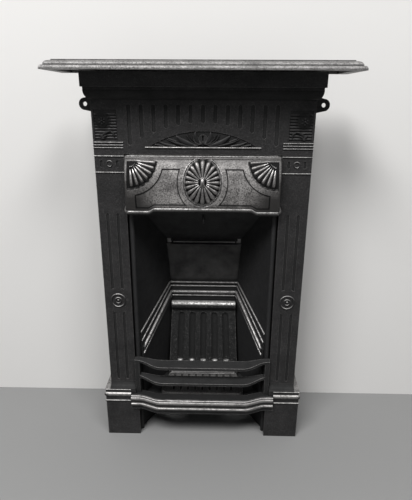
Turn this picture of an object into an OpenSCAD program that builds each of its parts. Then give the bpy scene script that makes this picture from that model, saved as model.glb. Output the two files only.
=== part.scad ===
// Cast iron bedroom fireplace: a surround with shelf, hood, splayed firebox,
// damper flap, fluted fireback, lift-out grate and lift-off front bars.
// Millimetres. Inside the modules Y = 0 is the face of the jambs, +Y runs back
// to the wall and Z = 0 is the hearth. place() then centres the whole on Y.

/* [Surround] */
// Width of the fire opening between the jambs
opening_w = 360; // [320:1:400]
// Height of the fire opening up to the frieze
opening_h = 771; // [740:1:820]
// Width of each jamb
jamb_w = 68; // [60:1:80]
// Height of the frieze
frieze_h = 117; // [110:1:130]
// Height of the cornice above the frieze
cornice_h = 57; // [50:1:70]
// Forward and sideways step of the cornice fascia
cornice_out = 20; // [14:1:26]
// Depth from the jamb face to the wall line
surround_d = 70; // [60:1:90]
// Thickness of the cast iron plates
plate_t = 6; // [5:0.5:7]
// Depth of the flutes and sunk panels
sink = 2; // [1:0.5:3]

/* [Shelf] */
// Overhang of the shelf in front of the jamb face
shelf_front = 78; // [60:1:100]
// Overhang of the shelf beyond each jamb
shelf_side = 78; // [60:1:100]
// Height of the shelf edge
shelf_edge_h = 20; // [16:1:26]
// Width of the moulding round the shelf edge
shelf_mould = 22; // [18:1:28]

/* [Plinths] */
// Height of the plinth blocks
plinth_h = 147; // [140:1:160]
// Step of the plinth blocks out from the jambs
plinth_out = 15; // [10:1:20]

/* [Wall lugs] */
// Drop of the lug holes below the top of the frieze
lug_drop = 10; // [0:1:40]
// Distance of the lug holes from the side of the jamb
lug_out = 30; // [24:1:40]
// Radius of each lug
lug_r = 14; // [11:1:16]
// Radius of the screw hole in each lug
lug_hole_r = 5; // [3:0.5:6]

/* [Hood] */
// Height of the hood in the middle
hood_h = 127; // [115:1:135]
// Forward bow of the hood beyond the jamb face
hood_bow = 28; // [20:1:34]
// Radius of the hood's curved face
hood_r = 126; // [110:1:150]
// Gap between the hood and the surround
hood_gap = 3; // [1:0.5:4]
// Half width of the oval rosette
rosette_rx = 42; // [34:1:46]
// Half height of the oval rosette
rosette_rz = 54; // [46:1:56]
// Radius of the corner fans
fan_r = 64; // [50:1:70]

/* [Firebox] */
// Depth from the jamb face to the back of the firebox
firebox_d = 150; // [135:1:170]
// Half width of the firebox at the back
firebox_back = 98; // [90:1:110]
// Height at which the back plate starts to lean forward
lean_z = 400; // [380:1:420]
// Height of the throat, from the back plate up to the top of the opening
throat_h = 257; // [242:1:270]
// Forward lean of the back plate at its top
lean = 16; // [8:1:22]
// Height of the bearers that carry the grate and linings
bearer_z = 112; // [100:1:116]
// Half width between the inner edges of the bearers
bearer_half = 88; // [80:1:92]

/* [Fireback] */
// Half width of the fluted fireback at the bottom
fireback_half = 100; // [94:1:104]
// Half width of the fluted fireback at the top
fireback_top_half = 90; // [84:1:92]
// Height of the fluted face
fireback_h = 210; // [190:1:225]
// Thickness of the fluted fireback
fireback_t = 13; // [11:1:15]
// Number of flutes
flute_n = 5; // [3:1:6]

/* [Grate and bars] */
// Thickness of the bottom grate
grate_t = 13; // [10:1:16]
// Number of slots in the bottom grate
slot_n = 9; // [5:1:10]
// Spacing of the grate slots
slot_pitch = 20; // [17:0.5:21]
// Width of the grate slots
slot_w = 7; // [5:0.5:9]
// Forward bow of the front bars, from the jamb face to their front
bar_front = 33; // [28:1:38]
// Depth of each front bar
bar_d = 25; // [20:1:26]
// Thickness of each front bar
bar_t = 7; // [6:0.5:9]
// Height of the front edge of the top bar
top_bar_z = 228; // [215:1:240]
// Height of the front edge of the middle bar
mid_bar_z = 180; // [170:1:190]
// Height of the top of the bottom rail
rail_z = 133; // [131:1:137]
// Forward bow of the bottom rail
rail_front = 40; // [38:1:44]

/* [Damper] */
// Gap between the free edge of the closed flap and the hood
flap_clear = 8; // [6:0.5:14]
// Rise of the closed flap above level, in degrees
flap_a = 47; // [45:0.5:49]
// Thickness of the flap
flap_t = 5; // [4:0.5:6]
// Radius of the pivot pins
pin_r = 3; // [2.5:0.1:3.5]
// Radius of the handle rod
handle_rod_r = 2; // [1.5:0.1:2.5]

/* [Fasteners] */
// Radius of the bolt shanks
bolt_r = 3; // [2.5:0.1:3.5]
// Distance across the corners of the bolt heads
head_d = 12; // [11:0.5:14]
// Height of the bolt heads
head_h = 4; // [3:0.5:5]

/* [Fits] */
// Radial clearance round pins and bolt shanks
fit = 0.06; // [0.04:0.01:0.1]
// Gap between pieces that lift or swing apart
gap = 0.3; // [0.3:0.05:0.6]

/* [Hidden] */
$fn = 48;

matt = [0.13, 0.13, 0.14];
polished = [0.36, 0.36, 0.38];
steel = [0.30, 0.30, 0.31];
eps = 0.01;

// Surround
open_x = opening_w / 2;
body_x = open_x + jamb_w;
frieze_top = opening_h + frieze_h;
cornice_top = frieze_top + cornice_h;
total_h = cornice_top + shelf_edge_h;
jamb_mid = open_x + jamb_w / 2;
reveal_d = 20;
boss_r = 10;
lug_x = body_x + lug_out;
lug_z = frieze_top - lug_drop;
fascia_h = 31;
fascia_z = cornice_top - fascia_h;
cornice_x = body_x + cornice_out * 0.75;
capital_h = 67;
capital_z = opening_h + 29;
capital_w = 51;
ring_z = opening_h - 22.5;
roundel_z = (plinth_h + ring_z) / 2 - 44;
roundel_r = 20;
flower_r = 15.5;
disc_h = 1.5;
flute_half = 12.3;
flute_w = 7;
flute_low = plinth_h + 26;
flute_stop = 120;
flute_high = ring_z - flute_stop;
// Leaves of the capital, from the foot of the spray: foot, tip, bend and width
capital_leaves = [[[4, 0.5], [-20, 18], 68, 6], [[-16, 17.4], [-25, 4], 100, 4],
                  [[2, 0], [8, 11], -50, 5], [[1, 0], [-10, 9], 40, 5]];

// Frieze
frieze_flutes = 13;
frieze_pitch = 27.4;
frieze_flute_w = 9;
frieze_flute_top = frieze_top - 14;
lunette_z = opening_h + 15.5;
lunette_half = 127;
lunette_rise = 37;
lunette_r = (lunette_half * lunette_half + lunette_rise * lunette_rise) / (2 * lunette_rise);
flute_arc_r = lunette_r + 63;
flute_arc_top = lunette_z + 53;
// Leaves of the lunette, from the middle of its sill: foot, tip, bend and width
cup_leaf = [[1.5, 8], [17, 34], 90, 13];
upper_leaves = [[[5, 6.5], [31, 30.5], 62, 3], [[8, 5.5], [37, 27.5], 60, 3],
                [[9, 5.5], [61, 26], 52, 12]];
lower_leaves = [[[11, 4], [83, 18.5], 34, 5.5], [[58, 13], [79, 20.5], 30, 5],
                [[60, 4], [99, 12.5], 40, 6.5], [[86, 3], [109, 7], 24, 5]];

// Shelf
shelf_x = body_x + shelf_side;

// Plinth
plinth_x = body_x + plinth_out - 2;
plinth_in = open_x - 8;
rail_lap = 10;
lap_z = rail_z - 43;

// Hood: a curved face whose foot steps down at the ends
hood_top = opening_h - hood_gap;
hood_low = hood_top - hood_h;
hood_x = open_x - 2;
hood_mid = hood_top - 78;
hood_cy = hood_r - hood_bow;
hood_round = 9;
hood_drop = 8;
hood_step = [open_x - 68, open_x - 55];
fan_x = open_x - 14;
fan_z = hood_top - 10;
fan_n = 7;
fan_rim = 6;
band_w = 13;
panel_x = hood_x - 25;
panel_z = [hood_low + 18, hood_top - 28];
rosette_z = (hood_top + hood_low) / 2 + 7;
petal_n = 20;

// Firebox: the cheeks run from cheek_front to cheek_back in plan
bead_r = 6;
bead_x = open_x - 9;
bead_y = 9;
cheek_front = [bead_x, bead_y + 3];
cheek_back = [firebox_back, firebox_d];
cheek_run = cheek_back - cheek_front;
cheek_len = norm(cheek_run);
cheek_a = atan2(cheek_run[1], cheek_run[0]);
cheek_slope = -cheek_run[0] / cheek_run[1];
flange_y = reveal_d + gap;
cheek_top = hood_low - hood_drop - gap;
back_h = opening_h - throat_h;
hinge_y = firebox_d;
hinge_z = back_h + 8;
ear_r = 7;
ear_x = 88;
ear_t = 4;
pin_in = 12;
flap_rest = flap_t / 2 + gap;
// The flap reaches from the hinge to flap_clear short of the inside of the hood
flap_away = [hinge_y - hood_cy, hinge_z - hood_mid];
flap_dir = [-cos(flap_a), sin(flap_a)];
flap_near = -flap_away * flap_dir;
flap_l = flap_near + sqrt(flap_near * flap_near - flap_away * flap_away
                          + pow(hood_r - plate_t - flap_clear, 2));
flap_lap = 3;
flap_wide_y = bead_y + 21;
flap_neck = 9;
lining_n = [3, 6, 9, 11];
ridge_r = [2.6, 2.4, 5.2, 2.6];
ridge_drop = [4, 14, 29, 41];
ridge_fall = [92, 106, 110, 115];
ridge_back = [for (d = ridge_drop) lean_z - d];
ridge_front = ridge_back - ridge_fall;
lining_start = 5;
lining_y = firebox_d - lining_n[3];
bearer_top = bearer_z + plate_t;

// Fireback
brick_y = 92.5;
brick_lean = (lining_y - gap - fireback_t - brick_y) / fireback_h;
brick_z = bearer_top + gap;
roll_r = 12.5;

// Grate and bars
grate_z = bearer_top + gap;
grate_top = grate_z + grate_t;
grate_front = -6;
grate_back = brick_y - 2;
bar_end_y = 10;
bar_stop_y = 1.5;
bar_rise = 0.3;
bar_end_x = open_x - 1;
post_w = 12;
knee_in = 119;
knee_out = 163;
rail_end_y = 22;
peg_r = 3;

// Depth of the whole, front of the shelf to the bolt heads behind the back plate
rear_y = firebox_d + 2 * plate_t + head_h;
mid_y = (rear_y - shelf_front) / 2;

// Bolt places, on the right-hand side
shelf_bolt_x = 200;
shelf_bolt_y = [14, surround_d - 22];
hood_bolt_z = [hood_low + 28, hood_top - 26];
cheek_bolt_z = [hood_low - 80, 250];
flange_bolt_x = open_x + 24;
back_bolt_x = firebox_back + 17;
back_bolt_z = [90, 330];
lining_bolt_t = [40, 118];
lining_bolt_z = 200;
rail_bolt_x = open_x + 1;
rail_bolt_z = rail_z - 21;

function arc(c, r, a0, a1, n) =
    [for (i = [0:n]) c + r * [cos(a0 + (a1 - a0) * i / n), sin(a0 + (a1 - a0) * i / n)]];
function oval(rx, rz, n) = [for (i = [0:n - 1]) [rx * cos(360 * i / n), rz * sin(360 * i / n)]];
// Point on the edge of a leaf at share t of its length; half is its half width on that side
function leaf_edge(c, r, a0, bend, half, t) =
    c + (r + half * sin(180 * pow(t, 0.8))) * [sin(a0 + bend * t), -cos(a0 + bend * t)];
// Half width between the inner faces of the cheeks at depth y
function cheek_at(y) = cheek_front[0] - cheek_slope * (y - cheek_front[1]);
// Outline of a bowed bar in plan: front line, then the back line
function bowed(end_x, front, end_front, back, end_back) = [
    [-end_x, -end_front], [-knee_out, -end_front], [-knee_in, -front], [knee_in, -front],
    [knee_out, -end_front], [end_x, -end_front], [end_x, end_back], [knee_out, end_back],
    [knee_in, back], [-knee_in, back], [-knee_out, end_back], [-end_x, end_back]];

module place() translate([0, -mid_y, 0]) children();

module both() {
    children();
    mirror([1, 0, 0]) children();
}

// A drawing in X and Z, raised forward by h from depth y
module onto(y, h) translate([0, y, 0]) rotate([90, 0, 0]) linear_extrude(height = h) children();

// A drawing in Y and Z, run along X
module along_x(w) rotate([90, 0, 90]) linear_extrude(height = w, center = true) children();

module rod_x(x0, x1, y, z, r) translate([x0, y, z]) rotate([0, 90, 0]) cylinder(r = r, h = x1 - x0);
module rod_y(x, y0, y1, z, r) translate([x, y0, z]) rotate([-90, 0, 0]) cylinder(r = r, h = y1 - y0);
module box(x0, x1, y0, y1, z0, z1) translate([x0, y0, z0]) cube([x1 - x0, y1 - y0, z1 - z0]);

// A slot with round ends, from (x, z0) to (x, z1)
module slot(x, z0, z1, w) {
    translate([x - w / 2, z0]) square([w, z1 - z0]);
    translate([x, z0]) circle(d = w);
    translate([x, z1]) circle(d = w);
}

// A leaf w wide, whose middle line turns by bend degrees, anticlockwise if positive
module leaf(foot, tip, bend, w) {
    way = tip - foot;
    r = norm(way) / 2 / sin(bend / 2);
    a0 = atan2(way[1], way[0]) - bend / 2;
    c = foot - r * [sin(a0), -cos(a0)];
    polygon(concat(
        [for (i = [0:8]) leaf_edge(c, r, a0, bend, w / 2, i / 8)],
        [for (i = [7:-1:1]) leaf_edge(c, r, a0, bend, -w / 2, i / 8)]));
}

// A bolt along +Y: head behind its seat at y, shank reaching forward to y_tip
module bolt_y(x, z, y, y_tip) {
    translate([x, y, z]) rotate([-90, 0, 0]) cylinder(d = head_d, h = head_h, $fn = 6);
    rod_y(x, y_tip, y + eps, z, bolt_r);
}

/* Surround */

module jamb_relief() {
    for (z = [capital_z - 4, capital_z - 10, capital_z - 16])
        rod_x(open_x, body_x - eps, 0, z, 1.8);
    for (z = [ring_z + 17, ring_z - 20]) rod_x(open_x, body_x - eps, 0, z, 1.8);
    translate([jamb_mid, 0, ring_z]) rotate([90, 0, 0]) rotate_extrude()
        translate([6.5, 0]) circle(r = 1.6);
    for (r = [roundel_r - 2.5, roundel_r - 12.5])
        translate([jamb_mid, 0, roundel_z]) rotate([90, 0, 0]) rotate_extrude()
            translate([r, 0]) circle(r = 2.2);
    translate([jamb_mid, 1, roundel_z]) sphere(r = 4);
}

// Reeds, a flower on a stepped disc and curled leaves in the sunk panel of the capital
module capital_relief() {
    x0 = body_x - 5 - capital_w;
    reed_pitch = capital_h / 10.5;
    for (i = [0:8])
        rod_x(x0 + 1, x0 + capital_w - 1, sink + 0.4, capital_z + 6 + i * reed_pitch, 2.4);
    flower_x = x0 + capital_w * 0.64;
    flower_z = capital_z + capital_h * 0.64;
    translate([flower_x, sink + 0.5, flower_z]) rotate([90, 0, 0]) {
        cylinder(r = flower_r, h = disc_h);
        cylinder(r = flower_r * 0.65, h = disc_h + 2.5);
        for (i = [0:5]) rotate(i * 60) translate([flower_r * 0.33, 0, 0])
            cylinder(r = flower_r * 0.15, h = disc_h + 3.1);
        cylinder(r = flower_r * 0.17, h = disc_h + 3.7);
    }
    onto(sink + 0.5, sink + 1.9) translate([flower_x, capital_z + 3.5]) for (l = capital_leaves)
        leaf(l[0], l[1], l[2], l[3]);
}

module lunette_sill() rod_x(-lunette_half - 4, lunette_half + 4, 0, lunette_z - 1, 2.2);

// A cup of two leaves in the sunk lunette, and long leaves that sweep out and curl up from it
module lunette_leaves() translate([0, 0, lunette_z]) {
    onto(sink + 0.5, sink + 2.8) difference() {
        union() {
            both() leaf(cup_leaf[0], cup_leaf[1], cup_leaf[2], cup_leaf[3]);
            translate([0, 19]) circle(r = 10);
        }
        slot(0, 16, 24, 3);
        translate([0, 24]) circle(r = 2.6);
    }
    onto(sink + 0.5, sink + 1.9) both() for (l = upper_leaves) leaf(l[0], l[1], l[2], l[3]);
    onto(sink + 0.5, sink + 1) both() for (l = lower_leaves) leaf(l[0], l[1], l[2], l[3]);
}

module frieze_cuts() {
    c = flute_arc_top - flute_arc_r;
    k = (frieze_flutes - 1) / 2;
    onto(sink, 10) for (i = [-k:k])
        slot(i * frieze_pitch,
             c + sqrt(pow(flute_arc_r, 2) - pow(i * frieze_pitch, 2)) + frieze_flute_w / 2,
             frieze_flute_top, frieze_flute_w);
    lc = lunette_z + lunette_rise - lunette_r;
    half_a = asin(lunette_half / lunette_r);
    onto(sink, 10) polygon(arc([0, lc], lunette_r - 1.5, 90 - half_a, 90 + half_a, 24));
}

module jamb_cuts() {
    onto(sink, 10) {
        for (x = [jamb_mid - flute_half, jamb_mid + flute_half]) difference() {
            slot(x, flute_low, flute_high, flute_w);
            translate([jamb_mid, roundel_z]) circle(r = 35);
        }
        translate([body_x - 5 - capital_w, capital_z]) square([capital_w, capital_h]);
        for (m = [-1, 1]) slot(jamb_mid + m * 18.5, ring_z - 5, ring_z + 5, 6);
    }
}

module cornice() {
    difference() {
        union() {
            box(-cornice_x, cornice_x, -cornice_out, surround_d, fascia_z, cornice_top);
            box(-cornice_x + 4, cornice_x - 4, -cornice_out + 5, surround_d, fascia_z - 6, fascia_z);
            box(-body_x - 5, body_x + 5, -8, surround_d, frieze_top + 7, fascia_z - 6);
        }
        box(-cornice_x + plate_t, cornice_x - plate_t, -cornice_out + plate_t, surround_d + 1,
            fascia_z, cornice_top - plate_t);
        box(-body_x + plate_t, body_x - plate_t, plate_t, surround_d + 1,
            frieze_top, fascia_z + 1);
    }
    rod_x(-body_x - 1, body_x + 1, -1, frieze_top + 4.5, 3);
    both() rod_y(body_x + 1, -1, surround_d, frieze_top + 4.5, 3);
}

module plinth() {
    top = plinth_h - plate_t;
    // Lower block, set further in than the upper part that the rail laps
    box(plinth_in, plinth_x, -plinth_out, -plinth_out + plate_t, 0, lap_z);
    box(rail_bolt_x - eps, plinth_x, -plinth_out, -plinth_out + plate_t, lap_z - eps, plinth_h);
    box(plinth_in, plinth_in + plate_t, -plinth_out, 2, 0, lap_z);
    box(plinth_in, open_x + plate_t, -plinth_out, 2, lap_z - plate_t, lap_z);
    box(open_x, open_x + plate_t, -plinth_out, 1, rail_bolt_z + head_d / 2 + 2, plinth_h);
    box(plinth_x - plate_t, plinth_x, -plinth_out, surround_d, 0, plinth_h);
    box(open_x, plinth_x, -plinth_out, plate_t, top, plinth_h);
    box(body_x - plate_t, plinth_x, 0, surround_d, top, plinth_h);
    // Mouldings, clear of the lapped end of the rail
    x0 = rail_bolt_x + rail_lap + 1;
    for (m = [[plinth_h - 2, 2, 0], [plinth_h - 17, 7.5, 3], [plinth_h - 37, 3, 0.5]]) {
        rod_x(x0, plinth_x - m[2], -plinth_out + m[2], m[0], m[1]);
        rod_y(plinth_x - m[2], -plinth_out + m[2], surround_d, m[0], m[1]);
        translate([plinth_x - m[2], -plinth_out + m[2], m[0]]) sphere(r = m[1]);
    }
    // Cove from the jamb down to the plinth
    translate([(open_x + body_x) / 2, 0, 0]) along_x(jamb_w)
        polygon([[0, plinth_h - 1], [-9, plinth_h - 1], [0, plinth_h + 8]]);
}

module lug() {
    onto(surround_d, plate_t) {
        translate([lug_x, lug_z]) circle(r = lug_r);
        polygon([[body_x - plate_t, lug_z - 22], [lug_x, lug_z - lug_r],
                 [lug_x, lug_z + lug_r], [body_x - plate_t, lug_z + 26]]);
    }
}

module surround() color(matt) place() {
    surround_plain();
    both() capital_relief();
    lunette_leaves();
}

// The surround before the ornament that stands in its sunk panels
module surround_plain() difference() {
    union() {
        // Face plate, side returns, opening reveals and top flange
        difference() {
            box(-body_x, body_x, 0, plate_t, plinth_h - plate_t, cornice_top);
            box(-open_x, open_x, -1, plate_t + 1, 0, opening_h);
            box(-body_x + plate_t, body_x - plate_t, -1, plate_t + 1, fascia_z, cornice_top + 1);
        }
        both() {
            box(body_x - plate_t, body_x, 0, surround_d, plinth_h - plate_t, fascia_z);
            box(open_x, open_x + plate_t, 0, reveal_d, lap_z - plate_t, opening_h + plate_t);
            for (z = hood_bolt_z) rod_y(flange_bolt_x, plate_t - eps, reveal_d, z, boss_r);
            for (z = cheek_bolt_z) rod_y(flange_bolt_x, plate_t - eps, reveal_d, z, boss_r);
            plinth();
            lug();
            jamb_relief();
        }
        box(-open_x, open_x, 0, reveal_d, opening_h, opening_h + plate_t);
        cornice();
        lunette_sill();
    }
    both() {
        jamb_cuts();
        for (z = concat(hood_bolt_z, cheek_bolt_z))
            rod_y(flange_bolt_x, plate_t + 2, reveal_d + 1, z, bolt_r + fit);
        rod_y(lug_x, surround_d - plate_t - 1, surround_d + 1, lug_z, lug_hole_r);
        rod_y(rail_bolt_x + 5, -plinth_out - 1, -plinth_out + plate_t + 1, rail_bolt_z, bolt_r + fit);
        for (y = shelf_bolt_y) translate([shelf_bolt_x, y, cornice_top - plate_t - 1])
            cylinder(r = bolt_r + fit, h = plate_t + 2);
    }
    frieze_cuts();
}

/* Shelf */

// Edge moulding: distance in from the tip against height, two rounded steps
function shelf_edge() = let (w = shelf_mould / 22, h = shelf_edge_h / 20) concat(
    [[22 * w, 20 * h], [20 * w, 20 * h], [20 * w, 18 * h]],
    [for (a = [0:15:90]) [(19 - 12 * sin(a)) * w, (10 + 8 * cos(a)) * h]],
    [[7 * w, 8.5 * h], [5 * w, 8.5 * h]],
    [for (a = [0:15:90]) [(5 - 5 * sin(a)) * w, (1.5 + 7 * cos(a)) * h]],
    [[0, 0]]);

module mantel_shelf() color(polished) place() difference() {
    edge = shelf_edge();
    intersection() {
        along_x(2 * shelf_x) polygon(concat(
            [for (p = edge) [-shelf_front + p[0], cornice_top + p[1]]],
            [[surround_d, cornice_top], [surround_d, total_h]]));
        onto(surround_d, surround_d + shelf_front) polygon(concat(
            [for (p = edge) [-shelf_x + p[0], cornice_top + p[1]]],
            [for (i = [len(edge) - 1:-1:0]) [shelf_x - edge[i][0], cornice_top + edge[i][1]]]));
    }
    difference() {
        box(-shelf_x + shelf_mould, shelf_x - shelf_mould, -shelf_front + shelf_mould,
            surround_d - plate_t, cornice_top - 1, total_h - plate_t);
        both() for (y = shelf_bolt_y) translate([shelf_bolt_x, y, cornice_top])
            cylinder(r = boss_r, h = shelf_edge_h - plate_t);
    }
    both() for (y = shelf_bolt_y) translate([shelf_bolt_x, y, cornice_top - 1])
        cylinder(r = bolt_r + fit, h = shelf_edge_h - plate_t - 1);
}

/* Hood */

function hood_y(z) = hood_cy - sqrt(hood_r * hood_r - pow(z - hood_mid, 2));

// Solid under the hood's curved face, t in from its outer surface
module hood_solid(t, z0, z1) {
    r = hood_round - t;
    x = hood_x - t;
    intersection() {
        translate([0, hood_cy, hood_mid]) rotate([0, 90, 0])
            cylinder(r = hood_r - t, h = 2 * body_x, center = true, $fn = 120);
        translate([0, 0, z0]) linear_extrude(height = z1 - z0) polygon(concat(
            arc([-x + r, -hood_bow + t + r], r, 180, 270, 6),
            arc([x - r, -hood_bow + t + r], r, 270, 360, 6),
            [[x, flange_y + plate_t], [-x, flange_y + plate_t]]));
    }
}

// Relief h high on the curved face, from a drawing in X and Z
module hood_relief(h) intersection() {
    onto(flange_y, surround_d + hood_bow) children();
    difference() {
        hood_solid(-h, hood_low - hood_drop - 1, hood_top);
        hood_solid(1, hood_low - hood_drop - 2, hood_top + 1);
    }
}

// Outline of the hood's front, in from its ends by e
module hood_outline(e) {
    x = hood_x - e;
    polygon([[-x, hood_top], [-x, hood_low - hood_drop], [-hood_step[1], hood_low - hood_drop],
             [-hood_step[0], hood_low], [hood_step[0], hood_low],
             [hood_step[1], hood_low - hood_drop], [x, hood_low - hood_drop], [x, hood_top]]);
}

// The two sunk panels between the fans and the rosette
module hood_panels() both() difference() {
    polygon([[0, panel_z[1]], [panel_x, panel_z[1]], [panel_x, panel_z[0] - hood_drop],
             [hood_step[1], panel_z[0] - hood_drop], [hood_step[0], panel_z[0]], [0, panel_z[0]]]);
    translate([fan_x, fan_z]) circle(r = fan_r + band_w);
    translate([0, rosette_z]) polygon(oval(rosette_rx + band_w + 2, rosette_rz + band_w + 4, 48));
}

// The quarter circles behind the fans
module fan_fields() both() intersection() {
    translate([fan_x, fan_z]) circle(r = fan_r);
    translate([fan_x - fan_r, fan_z - fan_r])
        square([hood_x - fan_rim - fan_x + fan_r, hood_top - 2 * fan_rim - fan_z + fan_r]);
}

module hood_field() difference() {
    hood_outline(1.5);
    hood_panels();
    fan_fields();
    translate([0, rosette_z]) polygon(oval(rosette_rx + 3, rosette_rz + 3, 48));
}

// Foot of the hood, h high, stepping down towards the ends
module hood_foot(h) {
    x = hood_x - 1.5;
    z0 = hood_low + 4.8 - h / 2;
    z1 = z0 - hood_drop;
    polygon([[-x, z1], [-hood_step[1], z1], [-hood_step[0], z0], [hood_step[0], z0],
             [hood_step[1], z1], [x, z1], [x, z1 + h], [hood_step[1] - 1, z1 + h],
             [hood_step[0] - 1, z0 + h], [-hood_step[0] + 1, z0 + h],
             [-hood_step[1] + 1, z1 + h], [-x, z1 + h]]);
}

// Tapered bar or petal from r0 out to r1, w wide at its shoulder
module petal(r0, r1, w, tip) polygon([
    [r0, -w * 0.12], [r1 - tip * 2, -w / 2], [r1 - tip / 2, -w * 0.36], [r1, 0],
    [r1 - tip / 2, w * 0.36], [r1 - tip * 2, w / 2], [r0, w * 0.12]]);

module hood_ribs() {
    intersection() {
        fan_fields();
        both() translate([fan_x, fan_z]) for (i = [0:fan_n - 1])
            rotate(186 + i * 78 / (fan_n - 1)) petal(14, fan_r - 3, 10.5, 3);
    }
    translate([0, rosette_z]) for (i = [0:petal_n - 1]) {
        a = i * 360 / petal_n;
        l = 1 / norm([cos(a) / rosette_rx, sin(a) / rosette_rz]);
        rotate(a) petal(10, l, 0.23 * l, 3);
    }
}

module hood() color(polished) place() difference() {
    union() {
        difference() {
            intersection() {
                hood_solid(0, hood_low - hood_drop, hood_top);
                onto(surround_d, surround_d + shelf_front) hood_outline(0);
            }
            hood_solid(plate_t, hood_low - hood_drop - 1, hood_top + 1);
            box(-hood_x + plate_t, hood_x - plate_t, 0, surround_d, hood_low - hood_drop - 1,
                hood_top + 1);
        }
        hood_relief(1.6) hood_field();
        hood_relief(2.6) hood_ribs();
        hood_relief(2.8) translate([-hood_x + 1.5, hood_top - fan_rim])
            square([2 * hood_x - 3, fan_rim]);
        difference() {
            translate([0, hood_y(rosette_z) + 4, rosette_z]) sphere(r = 12);
            hood_solid(plate_t - 1, hood_low, hood_top);
        }
        for (m = [[9.5, 2.2], [8, 3.6]]) hood_relief(m[1]) hood_foot(m[0]);
        both() box(hood_x - plate_t, flange_bolt_x + 12, flange_y, flange_y + plate_t,
                   hood_low, hood_top);
    }
    both() for (z = hood_bolt_z)
        rod_y(flange_bolt_x, flange_y - 1, flange_y + plate_t + 1, z, bolt_r + fit);
}

/* Firebox */

// Frame on the inner face of the right cheek: X to the back, Y inwards
module on_cheek() translate([cheek_front[0], cheek_front[1], 0]) rotate([0, 0, cheek_a]) children();

// Distance along the cheek at depth y, on a face n in from the cheek
function cheek_t(y, n) = (y - cheek_front[1] + n * (-cheek_run[0] / cheek_len))
    / (cheek_run[1] / cheek_len);
// Height of the cheek's top edge, just under the closed flap, at depth y
function under_flap(y) = hinge_z - flap_rest / cos(flap_a) + (hinge_y - y) * tan(flap_a);

module right_cheek_iron() {
    // The top edge runs up under the flap from a tab over the back plate
    tab_y = firebox_d - plate_t;
    plate_y = firebox_d + plate_t - lean;
    front_y = bead_y + 23;
    difference() {
        union() {
            intersection() {
                on_cheek() translate([-10, -plate_t, 0]) cube([cheek_len + 20, plate_t, total_h]);
                translate([body_x / 2, 0, 0]) along_x(body_x) polygon([
                    [cheek_front[1], 0], [firebox_d, 0], [firebox_d, lean_z],
                    [firebox_d - lean, back_h], [plate_y, back_h], [plate_y, back_h + gap],
                    [tab_y, back_h + gap], [tab_y, under_flap(tab_y)],
                    [front_y, under_flap(front_y)], [front_y, cheek_top],
                    [cheek_front[1], cheek_top]]);
            }
            // Rounded front edge and flange behind the jamb
            translate([bead_x, bead_y, 0]) cylinder(r = bead_r, h = cheek_top);
            box(bead_x - 3, flange_bolt_x + 20, flange_y, flange_y + plate_t, plinth_h + 8, cheek_top);
            // Flange for the back plate
            intersection() {
                translate([firebox_back + 14, 0, 0]) along_x(28) polygon([
                    [firebox_d - eps, 0], [firebox_d + plate_t, 0], [firebox_d + plate_t, lean_z],
                    [firebox_d + plate_t - lean, back_h], [firebox_d - lean - eps, back_h],
                    [firebox_d - eps, lean_z]]);
                on_cheek() translate([0, -60, 0]) cube([cheek_len + 60, 60, back_h]);
            }
            // Bearer for the grate, fireback and linings
            translate([0, 0, bearer_z]) linear_extrude(height = plate_t) polygon([
                [cheek_at(cheek_front[1]) + 2, cheek_front[1] + 1], [bearer_half, cheek_front[1] + 1],
                [bearer_half, lining_y], [cheek_at(lining_y) + 2, lining_y]]);
        }
        for (z = cheek_bolt_z)
            rod_y(flange_bolt_x, flange_y - 1, flange_y + plate_t + 1, z, bolt_r + fit);
        for (z = back_bolt_z)
            rod_y(back_bolt_x, firebox_d - 1, firebox_d + plate_t + 1, z, bolt_r + fit);
        for (t = lining_bolt_t) on_cheek()
            rod_y(t, -plate_t - 1, 1, lining_bolt_z, bolt_r + fit);
    }
}

module right_cheek() color(matt) place() right_cheek_iron();
module left_cheek() color(matt) place() mirror([1, 0, 0]) right_cheek_iron();

module back_plate() color(matt) place() difference() {
    w = firebox_back + 26;
    b = firebox_d + plate_t;
    union() {
        along_x(2 * w) polygon([
            [b, 0], [b + plate_t, 0], [b + plate_t, lean_z], [b + plate_t - lean, back_h],
            [b - lean, back_h], [b, lean_z]]);
        // Lip towards the fire
        box(-ear_x - 4, ear_x + 4, b - lean - 11, b - lean + 1, back_h - 4, back_h);
        // Ears for the damper pins
        both() translate([ear_x, 0, 0]) {
            along_x(ear_t) polygon([
                [b - lean + 1, back_h - 10], [b - lean + 7, back_h - 10],
                [hinge_y + ear_r, hinge_z], [hinge_y - ear_r, hinge_z]]);
            rod_x(-ear_t / 2, ear_t / 2, hinge_y, hinge_z, ear_r);
        }
    }
    both() {
        rod_x(ear_x - ear_t, ear_x + ear_t, hinge_y, hinge_z, pin_r + fit);
        for (z = back_bolt_z) rod_y(back_bolt_x, b - 1, b + plate_t + 1, z, bolt_r + fit);
        rod_y(60, b - 1, b + plate_t + 1, lining_bolt_z, bolt_r + fit);
    }
}

// Height of ridge i on the side lining, t along the cheek
function ridge_z(i, t) = ridge_back[i]
    + (ridge_front[i] - ridge_back[i]) * (cheek_len - t) / (cheek_len - 9);

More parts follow.
